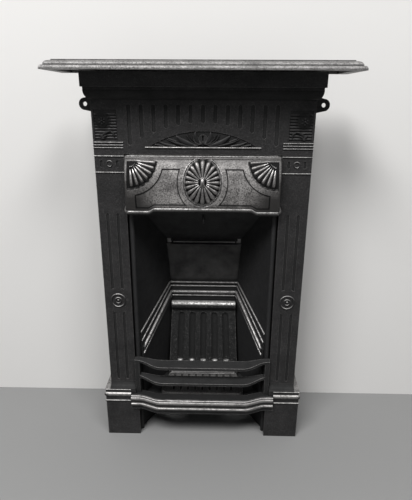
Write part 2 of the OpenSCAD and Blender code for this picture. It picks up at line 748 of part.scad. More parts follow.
module right_lining_iron() on_cheek() difference() {
    union() for (i = [0:3]) {
        n = lining_n[i];
        r = ridge_r[i];
        t1 = cheek_t(lining_y - gap, 0);
        translate([0, n, 0]) rotate([90, 0, 0]) linear_extrude(height = n) polygon([
            [lining_start, bearer_top], [t1, bearer_top], [t1, ridge_z(i, t1)],
            [lining_start, ridge_z(i, lining_start)]]);
        // Ridge along the top of each step
        ta = lining_start + r;
        tb = cheek_t(firebox_d - n - 2 * r, n) - 1;
        rise = ridge_z(i, tb) - ridge_z(i, ta);
        translate([ta, n, ridge_z(i, ta) - r]) rotate([0, 90 - atan2(rise, tb - ta), 0])
            cylinder(r = r, h = norm([tb - ta, rise]));
    }
    for (t = lining_bolt_t) rod_y(t, -1, lining_n[3] - 3, lining_bolt_z, bolt_r + fit);
}

module right_lining() color(polished) place() right_lining_iron();
module left_lining() color(polished) place() mirror([1, 0, 0]) right_lining_iron();

module back_lining() color(polished) place() difference() {
    union() for (i = [0:3]) {
        y = firebox_d - lining_n[i];
        w = firebox_back - 0.7;
        box(-w, w, y, firebox_d + plate_t, bearer_top, ridge_back[i]);
        l = firebox_back - 0.6 * lining_n[i] - 1.4 * ridge_r[i] - 1;
        rod_x(-l, l, y, ridge_back[i] - ridge_r[i], ridge_r[i]);
    }
    both() rod_y(60, lining_y + 4, firebox_d + plate_t + 1, lining_bolt_z, bolt_r + fit);
}

module fluted_fireback() color(polished) place() {
    w = fireback_half;
    top = brick_z + fireback_h;
    depth = 5;
    flute_r = (pow(9.5, 2) + pow(depth, 2)) / (2 * depth);
    flute_axis = flute_r - depth;
    lean_a = atan(brick_lean);
    difference() {
        union() {
            intersection() {
                along_x(2 * w) polygon([
                    [brick_y, brick_z], [brick_y + fireback_t, brick_z],
                    [brick_y + fireback_t + brick_lean * fireback_h, top],
                    [brick_y + brick_lean * fireback_h, top]]);
                onto(firebox_d, firebox_d) polygon([
                    [-w, brick_z], [w, brick_z], [fireback_top_half, top],
                    [-fireback_top_half, top]]);
            }
            rod_x(-fireback_top_half, fireback_top_half, lining_y - gap - roll_r, top + 5, roll_r);
        }
        for (i = [0:flute_n - 1]) {
            k = i - (flute_n - 1) / 2;
            z0 = 55;
            z1 = fireback_h - 24;
            x0 = k * (fireback_half - 8) * 2 / (flute_n + 0.3);
            x1 = k * (fireback_top_half - 5) * 2 / (flute_n + 0.3);
            translate([x0, brick_y, brick_z]) rotate([-lean_a, 0, 0])
                rotate([0, atan2(x1 - x0, z1 - z0), 0]) {
                translate([0, -flute_axis, z0]) cylinder(r = flute_r, h = z1 - z0);
                translate([0, -flute_axis, z0]) sphere(r = flute_r);
                translate([0, -flute_axis, z1]) sphere(r = flute_r);
            }
        }
    }
}

/* Grate, bars and rail */

module bottom_grate() color(matt) place() {
    back_half = fireback_half - 4;
    front_half = back_half + 16;
    difference() {
        translate([0, 0, grate_z]) linear_extrude(height = grate_t) polygon([
            [-back_half, grate_back], [back_half, grate_back], [front_half, 20],
            [front_half, grate_front + 12], [front_half - 12, grate_front],
            [-front_half + 12, grate_front], [-front_half, grate_front + 12], [-front_half, 20]]);
        for (i = [0:slot_n - 1])
            translate([(i - (slot_n - 1) / 2) * slot_pitch, 0, grate_z - 1])
            linear_extrude(height = grate_t + 2) slot(0, grate_front + 18, brick_y - 12, slot_w);
    }
    // Two lips in front of the fireback
    for (m = [[8.5, 1.2], [4.5, 3.2]])
        rod_x(-back_half + 4, back_half - 4, brick_y - m[0], grate_top + m[1], 2);
    box(-back_half + 4, back_half - 4, brick_y - 5.5, brick_y - 3.5, grate_top - 1, grate_top + 3);
}

// One bowed bar whose top front edge is at z
module bowed_bar(z) {
    intersection() {
        along_x(opening_w) polygon([
            [-bar_front - 1, z - bar_rise], [bar_end_y, z + bar_rise * (bar_end_y + bar_front)],
            [bar_end_y, z - bar_t + bar_rise * (bar_end_y + bar_front)],
            [-bar_front - 1, z - bar_t - bar_rise]]);
        translate([0, 0, z - bar_t - 5]) linear_extrude(height = 40) polygon(
            bowed(bar_end_x, bar_front, bar_end_y, bar_d - bar_front, bar_stop_y));
    }
}

module front_bars() color(matt) place() {
    bowed_bar(top_bar_z);
    bowed_bar(mid_bar_z);
    both() {
        top = top_bar_z + bar_rise * (bar_front - bar_end_y);
        box(bar_end_x - post_w, bar_end_x, -bar_end_y, bar_stop_y, rail_z + gap, top);
        translate([bar_end_x - post_w / 2, (bar_stop_y - bar_end_y) / 2, rail_z - 8])
            cylinder(r = peg_r, h = 9);
    }
}

module bottom_rail() color(polished) place() {
    web_x = plinth_in + 6;
    lap_x = rail_bolt_x + rail_lap;
    roll = 6.5;
    web_y = -13;
    difference() {
        union() {
            translate([0, 0, lap_z + gap]) linear_extrude(height = rail_z - lap_z - gap)
                polygon(bowed(lap_x, rail_front, rail_end_y, 8 - rail_front, -plinth_out - gap));
            translate([0, 0, rail_z - plate_t]) linear_extrude(height = plate_t)
                polygon(bowed(web_x, rail_front, rail_end_y, web_y, 2));
            both() box(plinth_in, web_x, -rail_end_y, 2, lap_z + gap, rail_z);
            // Roll and beads: height above the rail's foot, height and step forward of each layer
            for (m = concat([for (a = [35:15:80])
                                [32 - roll * cos(a), 2 * roll * cos(a), roll * sin(a) - 3.4]],
                            [[10, 8, 1.2], [11.5, 5, 2.4], [39, 3, 1.6]]))
                translate([0, 0, lap_z + m[0]]) linear_extrude(height = m[1]) polygon(
                    bowed(lap_x, rail_front + m[2], rail_end_y + m[2], 8 - rail_front,
                          -plinth_out - gap));
        }
        both() {
            translate([bar_end_x - post_w / 2, (bar_stop_y - bar_end_y) / 2, rail_z - 9])
                cylinder(r = peg_r + 0.4, h = 10);
            rod_y(rail_bolt_x + 5, -rail_end_y + 2, -plinth_out, rail_bolt_z, bolt_r + fit);
            box(rail_bolt_x - 1, lap_x + 10, -plinth_out - gap, 0, lap_z, rail_z + 1);
        }
    }
}

/* Damper */

// Frame of the flap: Y from the pivot to the free edge, Z out of its underside
module on_flap() translate([0, hinge_y, hinge_z]) rotate([180 - flap_a, 0, 0]) children();

handle_u = flap_l / 2 - 3;
handle_r = 10;
// Half width of the flap at distance u from the pivot: it laps the cheeks it rests on
function flap_half(u) = cheek_at(hinge_y - u * cos(flap_a)) + flap_lap;

module damper_flap() color(matt) place() on_flap() difference() {
    barrel_x = ear_x - ear_t / 2 - gap;
    wide_u = (hinge_y - flap_wide_y) / cos(flap_a);
    low_x = flap_half(flap_neck);
    high_x = flap_half(wide_u);
    union() {
        translate([0, 0, -flap_t / 2]) linear_extrude(height = flap_t) polygon([
            [-barrel_x, 0], [barrel_x, 0], [barrel_x, flap_neck], [low_x, flap_neck],
            [high_x, wide_u], [high_x, flap_l], [-high_x, flap_l],
            [-high_x, wide_u], [-low_x, flap_neck], [-barrel_x, flap_neck]]);
        rod_x(-barrel_x, barrel_x, 0, 0, pin_r + 2.5);
    }
    both() rod_x(barrel_x - pin_in - 2, ear_x, 0, 0, pin_r + fit);
    for (m = [-1, 1]) translate([0, handle_u + m * handle_r, -flap_t])
        cylinder(r = handle_rod_r + fit, h = 2 * flap_t);
}

module damper_handle() color(steel) place() on_flap() {
    z = flap_t / 2 + 4;
    for (m = [-1, 1]) translate([0, handle_u + m * handle_r, 0]) {
        translate([0, 0, -flap_t / 2 - 1]) cylinder(r = handle_rod_r, h = z + flap_t / 2 + 1);
        translate([0, 0, -flap_t / 2 - 1.5]) cylinder(r = handle_rod_r + 2, h = 1.5);
        translate([0, 0, flap_t / 2]) cylinder(r = handle_rod_r + 1.5, h = 1.5);
    }
    translate([0, handle_u, z]) rotate([90, 0, 90]) rotate_extrude(angle = 180)
        translate([handle_r, 0]) circle(r = handle_rod_r);
}

module damper_pins() color(steel) place() both() {
    x1 = ear_x + ear_t / 2;
    rod_x(x1 - ear_t - gap - pin_in, x1 + 1, hinge_y, hinge_z, pin_r);
    rod_x(x1, x1 + 2.5, hinge_y, hinge_z, pin_r + 1.5);
}

/* Fasteners */

module shelf_bolts() color(steel) place() both() for (y = shelf_bolt_y)
    translate([shelf_bolt_x, y, cornice_top - plate_t]) {
        translate([0, 0, -head_h]) cylinder(d = head_d, h = head_h, $fn = 6);
        translate([0, 0, -eps]) cylinder(r = bolt_r, h = plate_t + 10);
    }

module hood_bolts() color(steel) place() both() for (z = hood_bolt_z)
    bolt_y(flange_bolt_x, z, flange_y + plate_t, plate_t + 3);

module cheek_bolts() color(steel) place() both() for (z = cheek_bolt_z)
    bolt_y(flange_bolt_x, z, flange_y + plate_t, plate_t + 3);

module back_plate_bolts() color(steel) place() both() for (z = back_bolt_z)
    bolt_y(back_bolt_x, z, firebox_d + 2 * plate_t, firebox_d - head_h - 2);

module back_plate_nuts() color(steel) place() both() for (z = back_bolt_z) difference() {
    translate([back_bolt_x, firebox_d - eps, z]) rotate([90, 0, 0])
        cylinder(d = head_d, h = head_h, $fn = 6);
    rod_y(back_bolt_x, firebox_d - head_h - 1, firebox_d + 1, z, bolt_r + fit);
}

module lining_bolts() color(steel) place() both() {
    on_cheek() for (t = lining_bolt_t) {
        translate([t, -plate_t, lining_bolt_z]) rotate([90, 0, 0])
            cylinder(d = head_d, h = head_h, $fn = 6);
        rod_y(t, -plate_t - eps, lining_n[3] - 4, lining_bolt_z, bolt_r);
    }
    bolt_y(60, lining_bolt_z, firebox_d + 2 * plate_t, lining_y + 5);
}

module rail_bolts() color(steel) place() both()
    bolt_y(rail_bolt_x + 5, rail_bolt_z, -plinth_out + plate_t, -rail_end_y + 2.5);

mantel_shelf();
surround();
hood();
left_cheek();
right_cheek();
back_plate();
left_lining();
right_lining();
back_lining();
fluted_fireback();
bottom_grate();
front_bars();
bottom_rail();
damper_flap();
damper_handle();
damper_pins();
shelf_bolts();
hood_bolts();
cheek_bolts();
back_plate_bolts();
back_plate_nuts();
lining_bolts();
rail_bolts();
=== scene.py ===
"""A cast iron bedroom fireplace in a plain pale room: blacked iron with rubbed bright ornament."""

import math

import bpy
from mathutils import Matrix, Vector


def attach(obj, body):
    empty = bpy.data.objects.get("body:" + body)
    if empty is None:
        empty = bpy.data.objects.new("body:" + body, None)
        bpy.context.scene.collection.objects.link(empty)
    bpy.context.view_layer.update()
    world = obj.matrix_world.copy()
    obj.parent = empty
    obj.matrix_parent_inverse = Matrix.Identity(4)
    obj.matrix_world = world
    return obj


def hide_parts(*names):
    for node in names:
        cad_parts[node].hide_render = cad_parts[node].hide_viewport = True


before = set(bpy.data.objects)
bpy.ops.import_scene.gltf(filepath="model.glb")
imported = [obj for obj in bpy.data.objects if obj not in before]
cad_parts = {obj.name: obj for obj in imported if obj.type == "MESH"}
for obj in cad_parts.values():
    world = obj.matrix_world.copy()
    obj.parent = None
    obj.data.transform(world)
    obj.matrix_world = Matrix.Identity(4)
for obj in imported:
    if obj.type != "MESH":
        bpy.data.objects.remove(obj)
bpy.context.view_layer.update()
MM = 0.001

# Main sizes, in metres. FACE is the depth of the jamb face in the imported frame, and SUNK that of
# the grounds of the lunette and the capitals.
FACE = -0.044
SUNK = FACE + 0.002
WALL = FACE + 0.182

# Hood: half width, radius of its front corners, radius of its curved face, its front line, the
# height of its middle, and its foot's step as (start, end, drop)
HOOD_X = 0.178
HOOD_CORNER = 0.009
HOOD_R = 0.126
HOOD_FRONT = FACE - 0.028
HOOD_MID = 0.690
FOOT_STEP = (0.112, 0.125, 0.008)

# Rosette: height of its middle, and half sizes of its ground. Right fan: the corner (x, z) it
# spreads from, half sizes of its ground, and the ground's top and outer side.
ROSETTE_Z = 0.7115
ROSETTE_GROUND = (0.0405, 0.0505)
FAN_CORNER = (0.166, 0.758)
FAN_GROUND = (0.0622, 0.0605)
FAN_TOP = 0.7572
FAN_SIDE = 0.1728

# Panels of the hood: top, outer side and foot, the arc round the fan, and the oval round the
# rosette with its mean half size
PANEL_TOP = 0.740
PANEL_SIDE = 0.153
PANEL_FOOT = 0.659
PANEL_ARC = 0.077
PANEL_OVAL = (0.057, 0.071)
PANEL_OVAL_MEAN = 0.062

# Lunette: radius and height of the middle of its arch, and height of its sill
LUNETTE_R = 0.2350
LUNETTE_MID = 0.5870
LUNETTE_SILL = 0.7865

# Right capital: sides and ends of its sunk panel, and middle (x, z) and radius of its disc
CAPITAL_SIDES = (0.1910, 0.2440)
CAPITAL_ENDS = (0.799, 0.869)
FLOWER = (0.2246, 0.8429)
DISC_R = 0.0162

# Flutes of the fireback: how many, the heights between which they run, and their spacing there
FLUTES = 5
FLUTES_LOW = 0.1703
FLUTES_HIGH = 0.3013
FLUTES_APART = (0.0347, 0.0321)


# ---------------------------------------------------------------- shader groups


def new_group(name, inputs, outputs):
    """A shader group of plain numbers. inputs are (name, default), and outputs are names."""
    group = bpy.data.node_groups.new(name, "ShaderNodeTree")
    sockets, number = group.interface, "NodeSocketFloat"
    for label, value in inputs:
        socket = sockets.new_socket(name=label, in_out="INPUT", socket_type=number)
        socket.default_value = value
    for label in outputs:
        sockets.new_socket(name=label, in_out="OUTPUT", socket_type=number)
    return group, group.nodes.new("NodeGroupInput"), group.nodes.new("NodeGroupOutput")


def add(tree, kind, **settings):
    """A node with its settings."""
    node = tree.nodes.new(kind)
    for key, value in settings.items():
        setattr(node, key, value)
    return node


def math_node(tree, operation, a, b=None, clamp=False):
    """A Math node whose one or two inputs are sockets or numbers."""
    node = add(tree, "ShaderNodeMath", operation=operation, use_clamp=clamp)
    for slot, value in enumerate((a, b)):
        if value is None:
            continue
        if hasattr(value, "is_output"):
            tree.links.new(value, node.inputs[slot])
        else:
            node.inputs[slot].default_value = value
    return node.outputs[0]


def chain(tree, operation, *values):
    """Values taken together one after another, by an operation such as MULTIPLY."""
    result = values[0]
    for value in values[1:]:
        result = math_node(tree, operation, result, value)
    return result


def less(tree, a, b):
    """What is left of a when b is taken off."""
    return math_node(tree, "SUBTRACT", a, b)


def noise(tree, coords, scale, detail, rough=0.5, distortion=0.0):
    """Grain of an even kind, finer as the scale goes up."""
    node = add(tree, "ShaderNodeTexNoise")
    tree.links.new(coords, node.inputs["Vector"])
    node.inputs["Scale"].default_value = scale
    node.inputs["Detail"].default_value = detail
    node.inputs["Roughness"].default_value = rough
    node.inputs["Distortion"].default_value = distortion
    return node.outputs["Fac"]


def ramp(tree, value, low, high):
    """A mask that runs from 0 at low to 1 at high."""
    node = add(tree, "ShaderNodeMapRange", clamp=True)
    tree.links.new(value, node.inputs["Value"])
    node.inputs["From Min"].default_value = low
    node.inputs["From Max"].default_value = high
    return node.outputs["Result"]


def between(tree, value, low, high, fade):
    """A mask that is 1 between low and high, and fades out within them."""
    rise = ramp(tree, value, low, low + fade)
    return math_node(tree, "MULTIPLY", rise, ramp(tree, value, high, high - fade))


def place_in(tree):
    """The object's own coordinates: the whole, distance from the middle plane, depth, height."""
    coords = add(tree, "ShaderNodeTexCoord").outputs["Object"]
    split = add(tree, "ShaderNodeSeparateXYZ")
    tree.links.new(coords, split.inputs[0])
    across = math_node(tree, "ABSOLUTE", split.outputs["X"])
    return coords, across, split.outputs["Y"], split.outputs["Z"]


def lean_up(tree):
    """How far the surface faces up, from 1 on level tops to -1 underneath."""
    facing = add(tree, "ShaderNodeNewGeometry")
    split = add(tree, "ShaderNodeSeparateXYZ")
    tree.links.new(facing.outputs["Normal"], split.inputs[0])
    return split.outputs["Z"]


def blend(tree, factor, a, b):
    """Mix of two colours by a mask; a and b are sockets or (r, g, b)."""
    node = add(tree, "ShaderNodeMix", data_type="RGBA")
    tree.links.new(factor, node.inputs["Factor"])
    for slot, value in (("A", a), ("B", b)):
        socket = [s for s in node.inputs if s.name == slot and s.type == "RGBA"][0]
        if hasattr(value, "is_output"):
            tree.links.new(value, socket)
        else:
            socket.default_value = (*value, 1.0)
    return [s for s in node.outputs if s.type == "RGBA"][0]


def span(tree, factor, low, high):
    """A number that runs from low to high with a mask."""
    node = add(tree, "ShaderNodeMapRange", clamp=True)
    tree.links.new(factor, node.inputs["Value"])
    node.inputs["To Min"].default_value = low
    node.inputs["To Max"].default_value = high
    return node.outputs["Result"]


def make_sand_grain():
    """Sand-cast skin: a height for Bump, a slow mottle, and dark and bright specks."""
    group, _, out = new_group("sand_grain", [], ["Height", "Mottle", "Speckle", "Glint"])
    coords = add(group, "ShaderNodeTexCoord").outputs["Object"]
    fine = noise(group, coords, 620.0, 2.0, 0.6)
    pits = noise(group, coords, 240.0, 3.0, 0.55)
    waves = noise(group, coords, 38.0, 3.0, 0.5, 0.4)
    fine = math_node(group, "MULTIPLY", fine, 0.35)
    waves = math_node(group, "MULTIPLY", waves, 1.6)
    group.links.new(chain(group, "ADD", fine, pits, waves), out.inputs["Height"])
    slow = noise(group, coords, 21.0, 4.0, 0.62)
    group.links.new(ramp(group, slow, 0.34, 0.68), out.inputs["Mottle"])
    specks = noise(group, coords, 310.0, 2.0, 0.75)
    group.links.new(ramp(group, specks, 0.52, 0.34), out.inputs["Speckle"])
    group.links.new(ramp(group, specks, 0.60, 0.76), out.inputs["Glint"])
    return group


def make_edge_rub():
    """Where brushes rub a casting bright, its outer edges, and its corners, darkened with painted
    shade and soot.
    """
    group, source, out = new_group(
        "edge_rub", [("Radius", 0.002), ("Amount", 1.0), ("Reach", 0.010)], ["Rub", "Hollow"]
    )
    links = group.links
    coords = add(group, "ShaderNodeTexCoord").outputs["Object"]
    outer = add(group, "ShaderNodeAmbientOcclusion", samples=6, inside=True)
    links.new(source.outputs["Radius"], outer.inputs["Distance"])
    open_edge = ramp(group, outer.outputs["AO"], 0.78, 0.42)
    patch = ramp(group, noise(group, coords, 95.0, 3.0, 0.6), 0.25, 0.62)
    rub = math_node(group, "MULTIPLY", open_edge, patch)
    amount = source.outputs["Amount"]
    links.new(math_node(group, "MULTIPLY", rub, amount, clamp=True), out.inputs["Rub"])
    # Painted shade and soot in the corners, from ambient occlusion
    inner = add(group, "ShaderNodeAmbientOcclusion", samples=6)
    links.new(source.outputs["Reach"], inner.inputs["Distance"])
    links.new(ramp(group, inner.outputs["AO"], 0.93, 0.42), out.inputs["Hollow"])
    return group


def make_rubbed_lit_tops():
    """Mouldings rubbed bright with a painted highlight where they face up, and painted shade
    underneath.

    Low and High are the leans where the rub and painted highlight set in; Flat is what level tops
    keep.
    """
    group, source, out = new_group(
        "rubbed_lit_tops", [("Low", 0.2), ("High", 0.6), ("Flat", 1.0)], ["Rub", "ShadeUnder"]
    )
    links = group.links
    coords = add(group, "ShaderNodeTexCoord").outputs["Object"]
    lean = lean_up(group)
    # Painted shade on faces that lean down
    links.new(ramp(group, lean, -0.10, -0.45), out.inputs["ShadeUnder"])
    # Painted highlight, partly rub, on faces that lean up
    upward = add(group, "ShaderNodeMapRange", clamp=True)
    links.new(lean, upward.inputs["Value"])
    links.new(source.outputs["Low"], upward.inputs["From Min"])
    links.new(source.outputs["High"], upward.inputs["From Max"])
    patch = ramp(group, noise(group, coords, 70.0, 4.0, 0.65), 0.2, 0.5)
    level = ramp(group, lean, 0.82, 0.90)
    loss = math_node(group, "MULTIPLY", level, less(group, 1.0, source.outputs["Flat"]))
    kept = chain(group, "MULTIPLY", upward.outputs["Result"], less(group, 1.0, loss), patch)
    links.new(kept, out.inputs["Rub"])
    return group


def oval_reach(tree, x, z, middle, half):
    """How far out a point is in an oval, as a share of the oval's half sizes."""
    across = math_node(tree, "DIVIDE", less(tree, x, middle[0]), half[0])
    up = math_node(tree, "DIVIDE", less(tree, z, middle[1]), half[1])
    across = math_node(tree, "MULTIPLY", across, across)
    up = math_node(tree, "MULTIPLY", up, up)
    return math_node(tree, "SQRT", math_node(tree, "ADD", across, up))


def make_hood_hollows():
    """Hood masks: painted shade on rosette and fan grounds, painted shadow lines at panels, painted
    belly highlight.
    """
    group, _, out = new_group("hood_hollows", [], ["Ground", "Line", "Belly"])
    coords, x, _, z = place_in(group)
    rosette_mid = (0, ROSETTE_Z)
    fade = 0.0012
    # Painted shade and soot on the sunk grounds of the rosette and the fans
    flower = ramp(group, oval_reach(group, x, z, rosette_mid, ROSETTE_GROUND), 1.03, 0.95)
    fan = chain(
        group, "MULTIPLY", ramp(group, oval_reach(group, x, z, FAN_CORNER, FAN_GROUND), 1.02, 0.98),
        ramp(group, z, FAN_TOP, FAN_TOP - fade), ramp(group, x, FAN_SIDE, FAN_SIDE - fade),
    )
    group.links.new(math_node(group, "MAXIMUM", flower, fan), out.inputs["Ground"])

    # Painted shadow line round the panels
    step = math_node(group, "MULTIPLY", ramp(group, x, FOOT_STEP[0], FOOT_STEP[1]), FOOT_STEP[2])
    above_foot = math_node(group, "ADD", less(group, z, PANEL_FOOT), step)
    beside_fan = oval_reach(group, x, z, FAN_CORNER, (PANEL_ARC, PANEL_ARC))
    beside_fan = math_node(group, "MULTIPLY", less(group, beside_fan, 1.0), PANEL_ARC)
    beside_flower = oval_reach(group, x, z, rosette_mid, PANEL_OVAL)
    beside_flower = math_node(group, "MULTIPLY", less(group, beside_flower, 1.0), PANEL_OVAL_MEAN)
    within = chain(
        group, "MINIMUM", less(group, PANEL_TOP, z), less(group, PANEL_SIDE, x), above_foot,
        beside_fan, beside_flower,
    )
    line = ramp(group, math_node(group, "ABSOLUTE", within), 0.0020, 0.0009)
    group.links.new(line, out.inputs["Line"])

    # Painted highlight on the belly, with painted shade at the top, the foot, the ends and the
    # lower corners
    wander = math_node(group, "MULTIPLY", noise(group, coords, 26.0, 3.0, 0.6), 0.012)
    level = math_node(group, "ADD", z, wander)
    high = ramp(group, level, 0.772, 0.706)
    low = ramp(group, level, 0.648, 0.672)
    low_corner = math_node(
        group, "MULTIPLY", ramp(group, x, 0.085, 0.145), ramp(group, z, 0.725, 0.675)
    )
    inward = ramp(group, x, HOOD_X - 0.0005, HOOD_X - HOOD_CORNER)
    belly = chain(group, "MULTIPLY", high, low, less(group, 1.0, low_corner), inward)
    group.links.new(belly, out.inputs["Belly"])
    return group


def make_sunk_work():
    """Surround masks: painted shade and soot in its sunk work, painted shadow round its discs,
    least-rubbed parts.
    """
    group, _, out = new_group("sunk_work", [], ["Sunk", "Quiet"])
    flute_shade, capital_shade, lunette_quiet = 0.8, 0.55, 0.85
    _, x, y, z = place_in(group)
    # Painted shade and soot in the sunk flutes, the capital panels and the lunette
    sunk = chain(
        group, "MULTIPLY", ramp(group, y, FACE + 0.0005, FACE + 0.0014),
        ramp(group, y, FACE + 0.0044, FACE + 0.0034), ramp(group, lean_up(group), 0.8, 0.4),
    )
    panel = math_node(
        group, "MULTIPLY", between(group, x, *CAPITAL_SIDES, 0.0005),
        between(group, z, *CAPITAL_ENDS, 0.001),
    )
    arch = oval_reach(group, x, z, (0, LUNETTE_MID), (LUNETTE_R, LUNETTE_R))
    lunette = math_node(
        group, "MULTIPLY", ramp(group, arch, 1.0, 0.996),
        ramp(group, z, LUNETTE_SILL - 0.0005, LUNETTE_SILL + 0.0001),
    )
    quiet = math_node(group, "MULTIPLY", lunette, lunette_quiet)
    group.links.new(math_node(group, "MAXIMUM", panel, quiet), out.inputs["Quiet"])
    deep = chain(group, "MAXIMUM", lunette, panel, flute_shade)
    deep = math_node(group, "MINIMUM", deep, span(group, panel, 1.0, capital_shade))
    # Painted shadow ring round each capital's disc
    disc = oval_reach(group, x, z, FLOWER, (DISC_R + 0.0012, DISC_R + 0.0012))
    disc_edge = math_node(group, "ABSOLUTE", less(group, disc, 1.0))
    sunk = math_node(group, "MULTIPLY", sunk, deep)
    sunk = math_node(group, "MAXIMUM", sunk, ramp(group, disc_edge, 0.20, 0.12))
    group.links.new(sunk, out.inputs["Sunk"])
    return group


def make_flute_shade():
    """Painted shade and soot in the flutes of the fireback, which draw together towards the top."""
    group, _, out = new_group("flute_shade", [], ["Soot"])
    _, x, _, z = place_in(group)
    apart = add(group, "ShaderNodeMapRange", clamp=True)
    group.links.new(z, apart.inputs["Value"])
    for label, value in (("From Min", FLUTES_LOW), ("From Max", FLUTES_HIGH),
                         ("To Min", FLUTES_APART[0]), ("To Max", FLUTES_APART[1])):
        apart.inputs[label].default_value = value
    count = math_node(group, "DIVIDE", x, apart.outputs["Result"])
    off = math_node(group, "PINGPONG", count, 0.5)
    # Painted shade and soot in each flute
    soot = chain(
        group, "MULTIPLY", ramp(group, off, 0.30, 0.22),
        ramp(group, count, FLUTES / 2, FLUTES / 2 - 0.05),
        between(group, z, FLUTES_LOW + 0.004, FLUTES_HIGH + 0.009, 0.006),
    )
    group.links.new(soot, out.inputs["Soot"])
    return group


SAND = make_sand_grain()
EDGE = make_edge_rub()
TOPS = make_rubbed_lit_tops()
HOLLOWS = make_hood_hollows()
SUNK_WORK = make_sunk_work()
FLUTE_SHADE = make_flute_shade()


# Colour of the painted shade and soot in corners, grounds, flutes and under mouldings
SHADE_AND_SOOT = (0.006, 0.006, 0.006)
# Shares of the dark blacking: the darkest grain, and the painted shade on the hood off its lit
# belly
GRAIN_DARK = 0.3
HOOD_SHADE_DARK = 0.28
# How much painted shade lies under a moulding, and painted shadow in the outline of the hood's
# panels
UNDER_SHADE = 0.85
LINE_SHADE = 0.92
# What is left of the rub on the quiet parts of the surround
QUIET_RUB = 0.10
# How much smoother and more metallic the rubbed and highlighted iron is, and how much rougher under
# painted shade and soot
RUB_SMOOTH = 0.1
RUB_METAL = 0.35
SOOT_ROUGH = 0.3
# Height of the sand grain, and radius that shading gives to every sharp edge, in metres
GRAIN_HIGH = 0.0006
EDGE_R = 0.0008


